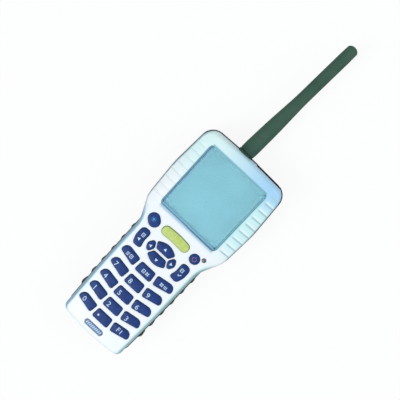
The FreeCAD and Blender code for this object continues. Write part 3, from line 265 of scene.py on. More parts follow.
# Painted shade on the flanks: the further a surface turns from the face, the darker and bluer it is painted, by
# side and by part.
FLANK_SHADES = {
    "handle_left": [
        (0.0, PLAIN), (0.1, (0.76, 0.92, 1.0)), (0.29, (0.46, 0.65, 0.78)),
        (0.48, (0.31, 0.47, 0.61)), (0.65, (0.25, 0.40, 0.51)), (0.82, (0.24, 0.38, 0.46)),
        (0.93, (0.16, 0.26, 0.30)), (1.0, (0.14, 0.22, 0.26))],
    "handle_right": [
        (0.0, PLAIN), (0.1, (0.90, 0.98, 1.0)), (0.29, (0.74, 0.92, 0.96)),
        (0.48, (0.49, 0.65, 0.69)), (0.65, (0.34, 0.48, 0.52)), (0.82, (0.31, 0.46, 0.49)),
        (0.93, (0.25, 0.41, 0.41)), (1.0, (0.18, 0.31, 0.31))],
    "head_left": [(0.0, PLAIN), (0.58, PLAIN), (0.83, (0.28, 0.39, 0.46)), (1.0, (0.22, 0.32, 0.38))],
    "head_right": [(0.0, PLAIN), (0.60, PLAIN), (0.82, (0.72, 0.86, 0.86)), (1.0, (0.34, 0.46, 0.47))],
}

# %% [markdown]
# The shoulders are ribbed for the fingers. Light and shade on each rib are painted: dark in its
# groove, a painted highlight on the side towards the handle, falling off towards the next groove,
# more so on the right.

# %% Rib colours
RIB_PITCH = 6.29 * MM
RIB_START = 25.25 * MM
SHOULDER = 26.5 * MM
# Painted highlight and shade across one rib, from groove to groove.
RIB_SHADING_STEPS = [
    (0.0, (0.0, 0.0, 0.0)), (0.10, (0.0, 0.0, 0.0)), (0.20, (1.0, 1.0, 1.0)), (0.38, (0.62, 0.62, 0.62)),
    (0.85, (0.42, 0.42, 0.42)), (1.0, (0.0, 0.0, 0.0))]
RIB_HIGHLIGHT = (0.88, 1.0, 1.0)
RIB_SHADE = (0.42, 0.62, 0.68)
RIB_FADE = 1.5 * MM
RIBS_END = (77 * MM, 75 * MM)
LEFT_SHARE = 0.06
print("ribs every", round(RIB_PITCH / MM, 2), "mm")


# %% Ribs and flanks
def rib_shading(tree, x, y, tone):
    """The tone of the shoulders, with a painted highlight at each rib's foot and painted shade in its groove."""
    count = calculate(tree, "DIVIDE", calculate(tree, "SUBTRACT", y, RIB_START), RIB_PITCH)
    level = colour_steps(tree, calculate(tree, "FRACT", count), RIB_SHADING_STEPS)
    along = times(tree, rising(tree, y, RIB_START - RIB_PITCH, RIB_START), rising(tree, y, *RIBS_END))
    on_right = rising(tree, x, SHOULDER, SHOULDER + RIB_FADE)
    on_left = rising(tree, x, -SHOULDER, -SHOULDER - RIB_FADE, LEFT_SHARE)
    share = times(tree, calculate(tree, "ADD", on_right, on_left), along)
    # Painted highlight and painted shade on the ribs.
    light = times(tree, rising(tree, level, 0.45, 1.0, 0.9), share)
    dark = times(tree, rising(tree, level, 0.42, 0.0, 0.75), share)
    return mixed_colour(tree, dark, mixed_colour(tree, light, tone, RIB_HIGHLIGHT), RIB_SHADE)


def flank_shade(tree, x, y):
    """Painted shade on the flanks, darker the more a surface turns away from the face."""
    across, along = facing(tree)[:2]
    past_field = rising(tree, calculate(tree, "ABSOLUTE", x), *PAST_FIELD)
    turned_out = times(tree, calculate(tree, "ABSOLUTE", across), past_field)
    steep = calculate(tree, "MAXIMUM", turned_out, rising(tree, along, -0.72, -0.95))
    shades = {name: colour_steps(tree, steep, steps) for name, steps in FLANK_SHADES.items()}
    to_right = rising(tree, x, *ACROSS_FLANKS)
    up_handle = times(tree, steep, rising(tree, y, *UP_HANDLE, 1.4))
    shade = mixed_colour(tree, up_handle, PLAIN, UPPER_SHADE)
    right_side = mixed_colour(tree, 1.0, shades["handle_right"], shade, "MULTIPLY")
    handle = mixed_colour(tree, to_right, shades["handle_left"], right_side)
    head = mixed_colour(tree, to_right, shades["head_left"], shades["head_right"])
    return mixed_colour(tree, rising(tree, y, *HANDLE_TO_HEAD), handle, head)


# %% [markdown]
# The window's opening has a narrow bevel. Its colour is painted shade by the side it faces,
# darkest at the foot, and a soft painted shade line on the face beside it makes the edge look
# rounded. The opening's upright wall is painted paler to lift the shade in the well. Painting the
# edge is simpler than a ring of extra geometry, and it can't leave a gap.

# %% Window edge
def window_edge_shade(tree, x, y, tone):
    """The bevel round the window, painted blue by the side it faces as shade, with a soft painted shade line
    beside it at the foot and the top.
    """
    across, along, upright = facing(tree)
    half = OPENING_HALF
    beside = calculate(tree, "ABSOLUTE", x)
    above = calculate(tree, "ABSOLUTE", calculate(tree, "SUBTRACT", y, OPENING_MIDDLE.y))
    between = rising(tree, beside, half.x + 0.4 * MM, half.x - 1.2 * MM)
    at_foot = times(
        tree, between, rising(tree, y, WINDOW_FOOT - 2.6 * MM, WINDOW_FOOT, 0.8),
        rising(tree, y, OPENING_MIDDLE.y, WINDOW_FOOT + 2 * MM))
    at_top = times(
        tree, between, rising(tree, y, WINDOW_TOP + 1.0 * MM, WINDOW_TOP + 0.5 * MM, 0.95),
        rising(tree, y, WINDOW_TOP - 0.8 * MM, WINDOW_TOP - 0.5 * MM))
    lined = mixed_colour(tree, at_top, mixed_colour(tree, at_foot, tone, FOOT_SHADE_LINE), BEVEL_SHADE_TOP)
    sloped = times(
        tree, rising(tree, beside, half.x + 1.1 * MM, half.x + 0.9 * MM),
        rising(tree, above, half.y + 1.1 * MM, half.y + 0.9 * MM), rising(tree, upright, 0.97, 0.85))
    # Painted shade by the side the bevel faces, and painted light on the upright wall.
    edge = mixed_colour(tree, rising(tree, across, -0.2, -0.6), BEVEL_SHADE_LEFT, BEVEL_SHADE_RIGHT)
    edge = mixed_colour(tree, rising(tree, along, 0.2, 0.6), edge, BEVEL_SHADE_FOOT)
    edge = mixed_colour(tree, rising(tree, along, -0.2, -0.6), edge, BEVEL_SHADE_TOP)
    edge = mixed_colour(tree, rising(tree, upright, 0.3, 0.1), edge, WALL_PAINTED_LIGHT)
    return mixed_colour(tree, sloped, lined, edge)


print("the window's bevel is", round(BEVEL / MM, 2), "mm wide")


# %% Front finish
def front_finish():
    """White plastic with its painted shade and reflection tints, a soft gloss and a very fine grain."""
    material, tree, surface = new_finish("front_plastic", Specular_IOR_Level=0.4)
    x, y = split_places(tree)[:2]
    # Painted shade and reflection towards the antenna and on the top slope, over the white field.
    to_top = rising(tree, y, *TO_TOP)
    on_left = mixed_colour(tree, rising(tree, y, *TO_HEAD_LEFT), WHITE, HEAD_LEFT_SHADE)
    on_left = mixed_colour(tree, to_top, on_left, TOP_LEFT_SHADE)
    on_right = mixed_colour(tree, rising(tree, y, *TO_HEAD_RIGHT), WHITE, HEAD_RIGHT_SHADE)
    on_right = mixed_colour(tree, to_top, on_right, TOP_RIGHT_SHADE)
    tone = mixed_colour(tree, rising(tree, x, *ACROSS_FACE), on_left, on_right)
    tone = rib_shading(tree, x, y, tone)
    # The flanks' painted shade darkens the tone.
    tone = mixed_colour(tree, 1.0, tone, flank_shade(tree, x, y), "MULTIPLY")
    gloss = spread(tree, speckle(tree, 6 * MM), 0.28, 0.4)
    join(tree, surface, Base_Color=window_edge_shade(tree, x, y, tone), Roughness=gloss)
    join(tree, surface, Normal=grain(tree, 0.5 * MM, 0.006 * MM))
    return material


front_plastic = front_finish()
print("front finish:", front_plastic.name)

# %% [markdown]
# ## The other finishes
# The rear shell is a dark moulding with an eroded texture that hides scratches. The grips and
# the antenna are rubber: softer, with almost no gloss, and the antenna is a dusty dark green.
# The keys are satin navy plastic with a fine grain, and the scan key is the same in yellow; their
# rounded edges are painted darker as shade.
# Metal parts have a metallic shader, and the ink of the legends is flat.

# %% Plastics and rubbers
rear_plastic = moulded(
    "rear_plastic", (0.016, 0.024, 0.026), (0.028, 0.04, 0.042), 0.55, 0.45 * MM, 0.03 * MM)
door_plastic = moulded(
    "door_plastic", (0.018, 0.026, 0.028), (0.03, 0.042, 0.044), 0.5, 0.45 * MM, 0.03 * MM)
grip_rubber = moulded(
    "grip_rubber", (0.014, 0.024, 0.022), (0.03, 0.044, 0.04), 0.78, 0.3 * MM, 0.04 * MM)
antenna_rubber = moulded(
    "antenna_rubber", (0.040, 0.092, 0.066), (0.056, 0.112, 0.082), 0.75, 0.35 * MM, 0.03 * MM,
    Specular_IOR_Level=0.2)
seal_rubber = moulded(
    "seal_rubber", (0.02, 0.025, 0.03), (0.035, 0.04, 0.045), 0.8, 0.3 * MM, 0.02 * MM)
mat_rubber = moulded(
    "mat_rubber", (0.32, 0.34, 0.36), (0.4, 0.42, 0.44), 0.7, 0.4 * MM, 0.02 * MM)
black_plastic = moulded(
    "black_plastic", (0.015, 0.015, 0.017), (0.03, 0.03, 0.032), 0.45, 0.4 * MM, 0.02 * MM)
# The last colour of each key is painted shade on its rounded edge.
key_navy = moulded(
    "key_navy", (0.004, 0.030, 0.155), (0.008, 0.045, 0.21), 0.42, 0.35 * MM, 0.012 * MM, 4 * MM,
    (0.006, 0.022, 0.11), Specular_IOR_Level=0.2)
key_yellow = moulded(
    "key_yellow", (0.49, 0.62, 0.13), (0.64, 0.72, 0.25), 0.42, 0.35 * MM, 0.02 * MM, 1.6 * MM,
    (0.24, 0.32, 0.10), Specular_IOR_Level=0.3)
battery_wrap = moulded("battery_wrap", (0.03, 0.05, 0.11), (0.04, 0.065, 0.14), 0.35, 2 * MM, 0.02 * MM)
white_ink = moulded("white_ink", (0.56, 0.72, 0.88), (0.66, 0.80, 0.92), 0.6, 0.2 * MM, 0.004 * MM, 2 * MM)
cyan_ink = moulded("cyan_ink", (0.03, 0.30, 0.62), (0.05, 0.38, 0.70), 0.6, 0.2 * MM, 0.004 * MM, 2 * MM)
red_ink = moulded("red_ink", (0.26, 0.12, 0.19), (0.32, 0.15, 0.23), 0.6, 0.2 * MM, 0.004 * MM, 2 * MM)
lamp_red = moulded("lamp_red", (0.09, 0.085, 0.11), (0.14, 0.12, 0.155), 0.2, 0.5 * MM, 0.01 * MM, 2 * MM)
gasket_blue = moulded("gasket_blue", (0.13, 0.33, 0.62), (0.18, 0.40, 0.70), 0.7, 0.4 * MM, 0.02 * MM)
badge_rim = moulded("badge_rim", (0.06, 0.11, 0.20), (0.08, 0.14, 0.25), 0.4, 0.3 * MM, 0.01 * MM, 3 * MM)
badge_field = moulded("badge_field", (0.40, 0.60, 0.92), (0.50, 0.70, 0.97), 0.5, 0.3 * MM, 0.01 * MM, 2 * MM)
print("plastics and rubbers are ready")


# %% Metals
def metal(name, colour, rough, size, depth):
    """Turned or brushed metal, whose gloss changes in fine streaks."""
    material, tree, surface = new_finish(name, Metallic=1.0, Base_Color=(*colour, 1))
    streaks = speckle(tree, size, 5.0)
    join(tree, surface, Roughness=spread(tree, streaks, rough - 0.1, rough + 0.12))
    join(tree, surface, Normal=grain(tree, size, depth))
    return material


screw_steel = metal("screw_steel", (0.42, 0.43, 0.45), 0.35, 0.6 * MM, 0.01 * MM)
connector_metal = metal("connector_metal", (0.05, 0.09, 0.07), 0.55, 0.6 * MM, 0.01 * MM)
contact_gold = metal("contact_gold", (0.83, 0.62, 0.26), 0.25, 0.5 * MM, 0.008 * MM)
print("metals are ready")

# %% [markdown]
# ## Screen
# Under a clear acrylic window lies a reflective panel without a backlight, which is why it looks
# teal when it is off. Near the left and lower edges it is painted bluer, as the shade of the
# opening's walls. The walls of the opening keep light from the panel's edge, which is painted paler
# to make up for it, and a printed line on the pane, under a millimetre wide, hides the darkest part.
# The panel's dots are too fine to see one by one, so a faint checker only breaks up the colour.

# %% Screen finishes
PANEL_LOW, PANEL_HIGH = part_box("lcd_panel")
PANEL_MIDDLE = (PANEL_LOW + PANEL_HIGH) / 2
PANEL_HALF = (PANEL_HIGH - PANEL_LOW) / 2
# Colours of the printed line: painted shade at the left, and painted light at the foot against the wall's shadow.
FRAME_LEFT_SHADE = (0.15, 0.33, 0.48)
FRAME_FOOT_LIT = (0.38, 0.78, 1.0)
FRAME_RIGHT = (0.36, 0.78, 0.90)
FRAME_TOP = (0.34, 0.72, 0.84)
TEAL = (0.275, 0.715, 0.84)
TEAL_DARK = (0.235, 0.655, 0.77)
# Blue of the faint dots, and also the painted shade near the left and the foot.
DOT_AND_SHADE_BLUE = (0.21, 0.54, 0.92)
PANEL_PALE = (0.40, 0.90, 1.0)
DOT_PITCH = 0.33 * MM
LEFT_FOOT_SHADE_REACH = (4.5 * MM, 0.8 * MM)


def from_edges(tree):
    """How near a place is to the wall of the window's opening, from 0 to 1 at the wall."""
    x, y = split_places(tree, OPENING_MIDDLE)[:2]
    gaps = [calculate(tree, "SUBTRACT", half, calculate(tree, "ABSOLUTE", value))
            for value, half in ((x, OPENING_HALF.x), (y, OPENING_HALF.y))]
    return rising(tree, calculate(tree, "MINIMUM", *gaps), 3.5 * MM, 0.3 * MM, 0.8)


def panel_finish():
    """The panel: teal, painted bluer near the left and the foot as shade, and painted paler close to the opening's
    wall to make up for its shade.
    """
    material, tree, surface = new_finish("panel_face", Roughness=0.45)
    x, y = split_places(tree, PANEL_MIDDLE)[:2]
    from_left = calculate(tree, "ADD", x, PANEL_HALF.x)
    from_foot = calculate(tree, "ADD", y, PANEL_HALF.y)
    # Painted shade, bluer, along the left and the foot.
    left_foot_shade = rising(tree, calculate(tree, "MINIMUM", from_left, from_foot), *LEFT_FOOT_SHADE_REACH, 0.85)
    dots = add(tree, "ShaderNodeTexChecker", [("Vector", places(tree)), ("Scale", 1 / DOT_PITCH)])
    cloud = blend_colours(tree, speckle(tree, 22 * MM), TEAL_DARK, TEAL)
    dotted = mixed_colour(tree, spread(tree, dots.outputs["Fac"], 0.0, 0.05), cloud, DOT_AND_SHADE_BLUE)
    edge = mixed_colour(tree, left_foot_shade, dotted, DOT_AND_SHADE_BLUE)
    tone = mixed_colour(tree, from_edges(tree), edge, PANEL_PALE)
    join(tree, surface, Base_Color=tone, Normal=grain(tree, 1.2 * MM, 0.01 * MM))
    return material


def frame_finish():
    """The printed line on the pane: painted shade in dark blue at the left, painted light in bright blue at the
    foot against the wall's shadow, paler elsewhere.
    """
    material, tree, surface = new_finish("frame_print_and_shade", Roughness=0.6)
    x, y = split_places(tree, OPENING_MIDDLE)[:2]
    half = OPENING_HALF
    at_right = rising(tree, x, half.x - 1.2 * MM, half.x - 0.6 * MM)
    at_foot = rising(tree, y, 1.3 * MM - half.y, 0.9 * MM - half.y)
    at_top = rising(tree, y, half.y - 1.0 * MM, half.y - 0.4 * MM)
    tone = mixed_colour(tree, at_right, FRAME_LEFT_SHADE, FRAME_RIGHT)
    tone = mixed_colour(tree, at_foot, tone, FRAME_FOOT_LIT)
    tone = mixed_colour(tree, at_top, tone, FRAME_TOP)
    join(tree, surface, Base_Color=tone, Normal=grain(tree, 0.3 * MM, 0.004 * MM))
    return material


def clear_finish(name, colour, rough):
    """Clear plastic, with faint rubbing marks in its gloss."""
    material, tree, surface = new_finish(
        name, Transmission_Weight=1.0, IOR=1.49, Base_Color=(*colour, 1))
    join(tree, surface, Roughness=spread(tree, speckle(tree, 9 * MM, 5.0), rough, rough + 0.05))
    return material


panel_face = panel_finish()
frame_print_and_shade = frame_finish()
window_clear = clear_finish("window_clear", (0.93, 0.98, 0.99), 0.02)
scan_pane_red = clear_finish("scan_pane_red", (0.24, 0.02, 0.03), 0.04)
print("screen finishes are ready")


# %% Circuit board finish
def board_finish():
    """Green lacquer over copper tracks, which show as slightly lighter lines."""
    material, tree, surface = new_finish("board_lacquer", Roughness=0.35)
    tracks = add(tree, "ShaderNodeTexBrick", [
        ("Vector", places(tree)), ("Scale", 1.0), ("Brick Width", 6 * MM), ("Row Height", 1.6 * MM),
        ("Mortar Size", 0.25 * MM), ("Color1", (0.01, 0.09, 0.035, 1)), ("Color2", (0.014, 0.11, 0.045, 1)),
        ("Mortar", (0.03, 0.19, 0.07, 1))])
    join(tree, surface, Base_Color=tracks.outputs["Color"], Normal=grain(tree, 0.8 * MM, 0.01 * MM))
    return material


board_lacquer = board_finish()
print("board finish:", board_lacquer.name)

# %% [markdown]
# ## Mesh helpers
# The solids arrive as loose triangles. A copy of one is merged, so that its triangles share
# their corners, and then shaded smooth with sharp edges where two faces meet at an angle. A
# weighted normal keeps large flat faces flat where they meet a rounding. A new mesh is mostly a
# stack of closed rows of corners, with faces that bridge each row to the next.


# %% Helpers for meshes
def new_piece(name, mesh, finish):
    """An object in the scene, with one finish."""
    piece = bpy.data.objects.new(name, mesh)
    bpy.context.scene.collection.objects.link(piece)
    piece.data.materials.clear()
    piece.data.materials.append(finish)
    return piece


def bridge(work, rows):
    """Joins each closed row of corners to the next one with faces."""
    for low, high in zip(rows, rows[1:]):
        for side in range(len(low)):
            after = (side + 1) % len(low)
            work.faces.new((low[side], low[after], high[after], high[side]))


def close_tip(work, row, tip):
    """Closes a row of corners with triangles that meet at a tip."""
    for side in range(len(row)):
        work.faces.new((row[side], row[(side + 1) % len(row)], tip))


def shaded_mesh(name, work, sharp):
    """A mesh from a bmesh, shaded smooth except over sharp edges."""
    mesh = bpy.data.meshes.new(name)
    work.to_mesh(mesh)
    work.free()
    mesh.shade_smooth()
    mesh.set_sharp_from_angle(angle=math.radians(sharp))
    return mesh


def from_bmesh(name, work, finish, sharp=35):
    """An object from a bmesh whose faces are first turned outwards."""
    bmesh.ops.recalc_face_normals(work, faces=work.faces)
    return new_piece(name, shaded_mesh(name, work, sharp), finish)


def settled(piece):
    """Replaces a piece's mesh by the result of its modifiers and drops them."""
    bpy.context.view_layer.update()
    graph = bpy.context.evaluated_depsgraph_get()
    piece.data = bpy.data.meshes.new_from_object(piece.evaluated_get(graph))
    piece.modifiers.clear()
    return piece


def merged(node):
    """A bmesh of a node's solid, with its corners shared."""
    work = bmesh.new()
    work.from_mesh(frame["nodes"][node].data)
    bmesh.ops.remove_doubles(work, verts=work.verts, dist=0.002 * MM)
    return work


def smooth_copy(name, node, finish, sharp=28):
    """A node's solid with shared corners, soft shading and weighted normals."""
    piece = new_piece(name, shaded_mesh(name, merged(node), sharp), finish)
    weigh = piece.modifiers.new("weigh", "WEIGHTED_NORMAL")
    weigh.keep_sharp = True
    weigh.weight = 80
    return settled(piece)


def stand_for(piece, node):
    """The piece shows in place of a node, on the same body."""
    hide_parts(node)
    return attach(piece, BODY_OF[node])


print("helpers for meshes are ready")

# %% [markdown]
# ## Shells
# The two halves of the housing keep the solids' shapes, because their walls, grooves and
# openings are right already. They only need soft shading and their finish.

# %% Shells
for name, node, finish in (
    ("front_shell", "front_case", front_plastic),
    ("rear_shell", "rear_case", rear_plastic),
    ("battery_cover", "battery_door", door_plastic),
    ("cover_screw", "door_screw", screw_steel),
    ("scan_pane", "scan_window", scan_pane_red),
):
    shell = stand_for(smooth_copy(name, node, finish), node)
    print(name, "has", len(shell.data.polygons), "faces")

# %% [markdown]
# ## Key caps
# Each key is a moulded cap: a straight wall, a rounded edge and a top that rises a little in
# the middle so that a thumb finds it. The outline is read from the key's own solid, at the
# level where its wall ends. Rings of points then step inwards and up from that outline, first
# round the edge and then over the crown, which works for any shape whose middle sees all of
# its outline.

# %% Outline of a solid at its shoulder
RING_POINTS = 96


def levels(work):
    """The heights at which a solid has corners, lowest first."""
    found = []
    for height in sorted(vert.co.z for vert in work.verts):
        if not found or height - found[-1] > 0.02 * MM:
            found.append(height)
    return found


def side_edges(work, height):
    """The edges at a height that border an upright face."""
    near = {vert for vert in work.verts if abs(vert.co.z - height) < 0.01 * MM}
    edges = [edge for edge in work.edges if edge.verts[0] in near and edge.verts[1] in near]
    return [edge for edge in edges if any(abs(face.normal.z) < 0.1 for face in edge.link_faces)]


def outline_at(work, height):
    """The closed loop of points that a solid has at a height, counter-clockwise."""
    beside = {}
    for edge in side_edges(work, height):
        first, second = edge.verts
        beside.setdefault(first, []).append(second)
        beside.setdefault(second, []).append(first)
    start = max(beside, key=lambda vert: vert.co.x)
    loop, before, here = [start], None, start
    while True:
        ahead = [vert for vert in beside[here] if vert is not before and vert not in loop[1:]]
        if not ahead or ahead[0] is start:
            break
        before, here = here, ahead[0]
        loop.append(here)
    points = [vert.co.xy.copy() for vert in loop]
    area = sum(a.cross(b) for a, b in zip(points, points[1:] + points[:1]))
    if area < 0:
        points.reverse()
    return even_points(points)


def even_points(points):
    """The same closed line with points at equal distances."""
    ends = list(zip(points, points[1:] + points[:1]))
    lengths = [(b - a).length for a, b in ends]
    step = sum(lengths) / RING_POINTS
    made, travelled, index = [], 0.0, 0
    for number in range(RING_POINTS):
        wanted = number * step
        while travelled + lengths[index] < wanted:
            travelled += lengths[index]
            index += 1
        a, b = ends[index]
        made.append(a.lerp(b, (wanted - travelled) / lengths[index]))
    return made


def outward(points):
    """The direction out of a closed line at each of its points."""
    count = len(points)
    found = []
    for index in range(count):
        along = points[(index + 1) % count] - points[index - 1]
        found.append(Vector((along.y, -along.x)).normalized())
    return found


print("outlines are read with", RING_POINTS, "points")

# %% Crowned cap
EDGE_ROUND = 0.6 * MM
CROWN_RISE = 0.22 * MM
FLANGE = 0.45 * MM
INK_ROOM = 0.06 * MM
EDGE_STEPS = 4
CROWN_STEPS = 6


def crowned_cap(name, node, finish, edge=EDGE_ROUND, rise=CROWN_RISE):
    """A cap with a wall, a rounded edge and a crowned top, in the place of a node's solid."""
    work = merged(node)
    heights = levels(work)
    walls = [height for height in heights if len(side_edges(work, height)) > 7]
    shoulder = outline_at(work, walls[-1])
    floor, top = heights[0], heights[-1] - INK_ROOM
    foot = outline_at(work, floor)
    flange = walls[1]
    work.free()
    away = outward(shoulder)
    middle = sum(shoulder, Vector((0, 0))) / len(shoulder)
    foot_reach, reach = (
        max((point - middle).length for point in points) for points in (foot, shoulder))
    if foot_reach - reach > 0.1 * MM:
        wide = [point + out * FLANGE for point, out in zip(shoulder, away)]
        rings = [(wide, floor), (wide, flange), (shoulder, flange)]
    else:
        rings = [(shoulder, floor)]
    for step in range(EDGE_STEPS + 1):
        angle = math.pi / 2 * step / EDGE_STEPS
        inset, height = edge * (1 - math.cos(angle)), top - rise - edge * (1 - math.sin(angle))
        rings.append(([point - out * inset for point, out in zip(shoulder, away)], height))
    rim = rings[-1][0]
    for step in range(1, CROWN_STEPS):
        share = 1 - step / CROWN_STEPS
        height = top - rise * share ** 2
        rings.append(([middle + (point - middle) * share for point in rim], height))
    cap = bmesh.new()
    rows = [[cap.verts.new((point.x, point.y, height)) for point in points] for points, height in rings]
    bridge(cap, rows)
    close_tip(cap, rows[-1], cap.verts.new((middle.x, middle.y, top)))
    cap.faces.new(list(reversed(rows[0])))
    return stand_for(from_bmesh(name, cap, finish), node)


key_nodes = [node for node in frame["nodes"] if node.startswith("key_")]
caps = {}
for node in key_nodes:
    finish = key_yellow if node == "key_scan" else key_navy
    caps[node] = crowned_cap(node.replace("key_", "cap_"), node, finish)
print("made", len(caps), "key caps")

# %% Lamp lens and plate
crowned_cap("lamp_lens", "status_led", lamp_red, 0.5 * MM, 0.2 * MM)
caps["badge_plate"] = crowned_cap("plate_at_foot", "badge_plate", badge_rim, 0.15 * MM, 0.05 * MM)
print("made the lamp's lens and the plate at the foot")

# %% [markdown]
# ## Legends
# The legends are printed with thick ink. Each is a thin closed plate, cut from a letter or from
# a few simple outlines, and laid on its cap: every corner is dropped onto the crown, the lower
# ones a little below the surface and the upper ones a little above it.

# %% Plates and letters
INK_HIGH = 0.05 * MM
INK_LOW = -0.10 * MM
INK_CUTS = 3
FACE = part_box("front_case")[1].z


def lay_on(work, cap, x, y):
    """Moves a flat bmesh to x and y, cuts it finer and drops it onto a cap."""
    bmesh.ops.triangulate(work, faces=work.faces)
    bmesh.ops.subdivide_edges(work, edges=work.edges, cuts=INK_CUTS, use_grid_fill=True)
    surface = BVHTree.FromPolygons(
        [vert.co for vert in cap.data.vertices], [list(face.vertices) for face in cap.data.polygons])
    for vert in work.verts:
        lift = vert.co.z
        above = Vector((vert.co.x + x, vert.co.y + y, FACE + 20 * MM))
        hit = surface.ray_cast(above, Vector((0, 0, -1)))[0]
        vert.co = (above.x, above.y, (hit.z if hit else FACE) + lift)
    return work


def plates(outlines):
    """Closed plates of ink, one for each outline of (x, y) points."""
    work = bmesh.new()
    for outline in outlines:
        low = [work.verts.new((x, y, INK_LOW)) for x, y in outline]
        high = [work.verts.new((x, y, INK_HIGH)) for x, y in outline]
        work.faces.new(high)
        work.faces.new(list(reversed(low)))
        bridge(work, [low, high])
    return work


def letters(text, height):
    """Closed plates of ink in the shape of digits, centred, with the given height."""
    curve = bpy.data.curves.new("letters", "FONT")
    curve.body = text
    curve.extrude = 0.02
    curve.resolution_u = 4
    source = bpy.data.objects.new("letters", curve)
    bpy.context.scene.collection.objects.link(source)
    bpy.context.view_layer.update()
    mesh = bpy.data.meshes.new_from_object(source.evaluated_get(bpy.context.evaluated_depsgraph_get()))
    bpy.data.objects.remove(source)
    work = bmesh.new()
    work.from_mesh(mesh)
    bmesh.ops.remove_doubles(work, verts=work.verts, dist=1e-5)
    xs = [vert.co.x for vert in work.verts]
    ys = [vert.co.y for vert in work.verts]
    middle = ((min(xs) + max(xs)) / 2, (min(ys) + max(ys)) / 2)
    scale = height / (max(ys) - min(ys))
    for vert in work.verts:
        flat = INK_HIGH if vert.co.z > 0 else INK_LOW
        vert.co = ((vert.co.x - middle[0]) * scale, (vert.co.y - middle[1]) * scale, flat)
    return work


def print_on(node, name, work, ink, x=0.0, y=0.0):
    """Lays ink on a key's cap, measured from the middle of the key."""
    low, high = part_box(node)
    lay_on(work, caps[node], (low.x + high.x) / 2 + x, (low.y + high.y) / 2 + y)
    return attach(from_bmesh(name, work, ink), BODY_OF[node])


print("ink is", round((INK_HIGH - INK_LOW) / MM, 2), "mm thick")

# %% [markdown]
# Two more prints stand beside the legends. The plate at the foot carries a row of leaning bars as
# a plain ornament. The window has a thin printed line on its pane, which also covers the darkest
# shade along the opening's wall; its colours are painted shade at the left and painted light at
# the foot. It could be part of the pane's material, but ink doesn't let light through and the pane
# does, so a thin solid with its own finish is simpler.

# %% Bars on the plate
HATCH_PITCH = 1.55 * MM
HATCH_WIDE = 0.95 * MM
HATCH_HIGH = 2.3 * MM
HATCH_LEAN = 0.35 * MM
HATCHES = 9


def leaning_bar(x):
    """A bar about x whose upper end leans to the right."""
    half, top = HATCH_WIDE / 2, HATCH_HIGH / 2
    return [(x - half - HATCH_LEAN, -top), (x + half - HATCH_LEAN, -top),
            (x + half + HATCH_LEAN, top), (x - half + HATCH_LEAN, top)]


bars = [leaning_bar((number - (HATCHES - 1) / 2) * HATCH_PITCH) for number in range(HATCHES)]
print_on("badge_plate", "plate_hatches", plates(bars), badge_field)
print("printed", HATCHES, "bars on the plate")

# %% Frame of the window
FRAME_THICK = 0.03 * MM
# The line is widest at the foot, where it covers the wall's shadow.
FRAME_LEFT_AND_FOOT = Vector((0.5, 0.9)) * MM
FRAME_RIGHT_AND_TOP = Vector((0.35, 0.4)) * MM


def print_and_shade_frame():
    """A thin printed line round the pane, along the wall of the window's opening, over the darkest shade there."""
    work = bmesh.new()
    rows = []
    for share, height in ((0, INK_LOW), (0, FRAME_THICK), (1, FRAME_THICK), (1, INK_LOW)):
        low = OPENING_MIDDLE.xy - OPENING_HALF.xy + FRAME_LEFT_AND_FOOT * share
        high = OPENING_MIDDLE.xy + OPENING_HALF.xy - FRAME_RIGHT_AND_TOP * share
        corners = [(low.x, low.y), (high.x, low.y), (high.x, high.y), (low.x, high.y)]
        rows.append([work.verts.new((x, y, WINDOW_HIGH.z + height)) for x, y in corners])
    bridge(work, rows + rows[:1])
    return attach(from_bmesh("window_frame", work, frame_print_and_shade), BODY_OF["display_window"])


frame_print_piece = print_and_shade_frame()
print("the window's frame has", len(frame_print_piece.data.polygons), "faces")

# %% [markdown]
# The digits stand in the left part of each key. On the outer columns, whose keys turn away from
# the middle, they stand a little higher. The point has the digits' place, and so has F1.

# %% Digits
DIGIT_HIGH = 3.7 * MM
LEFT_DIGIT = (-2.65 * MM, 0.43 * MM)
MIDDLE_DIGIT = (-3.2 * MM, -0.4 * MM)
RIGHT_DIGIT = (-3.2 * MM, -0.85 * MM)
DIGIT_PLACES = {
    "7": LEFT_DIGIT, "4": LEFT_DIGIT, "1": LEFT_DIGIT, "0": LEFT_DIGIT, "8": MIDDLE_DIGIT,
    "5": MIDDLE_DIGIT, "2": MIDDLE_DIGIT, "9": RIGHT_DIGIT, "6": RIGHT_DIGIT, "3": RIGHT_DIGIT}
DOT_RADIUS = 0.75 * MM


def disc(radius, x=0.0, y=0.0, steps=20):
    """The outline of a round dot."""
    turns = [2 * math.pi * step / steps for step in range(steps)]
    return [(x + radius * math.cos(turn), y + radius * math.sin(turn)) for turn in turns]


for digit, (x, y) in DIGIT_PLACES.items():
    print_on(f"key_{digit}", f"digit_{digit}", letters(digit, DIGIT_HIGH), white_ink, x, y)
print_on("key_point", "digit_point", plates([disc(DOT_RADIUS)]), white_ink, -3.6 * MM)
print_on("key_f1", "digit_f1", letters("F1", DIGIT_HIGH * 0.95), white_ink, -1.0 * MM, 0.6 * MM)
print("printed ten digits, a point and F1")

# %% [markdown]
# The pad's keys carry small triangles. The other keys have plain signs built from bars, rings
# and strokes: a page and an arrow or a tick beside the pad, a sun for the light, a broken ring
# for power, and lines, squares and pages on the three function keys.


# %% Signs
def bar(x, y, wide, high, turn=0.0):
    """A rectangle about a point, turned by an angle."""
    a, b = wide / 2, high / 2
    c, s = math.cos(turn), math.sin(turn)
    corners = [(-a, -b), (a, -b), (a, b), (-a, b)]
    return [(x + a * c - b * s, y + a * s + b * c) for a, b in corners]


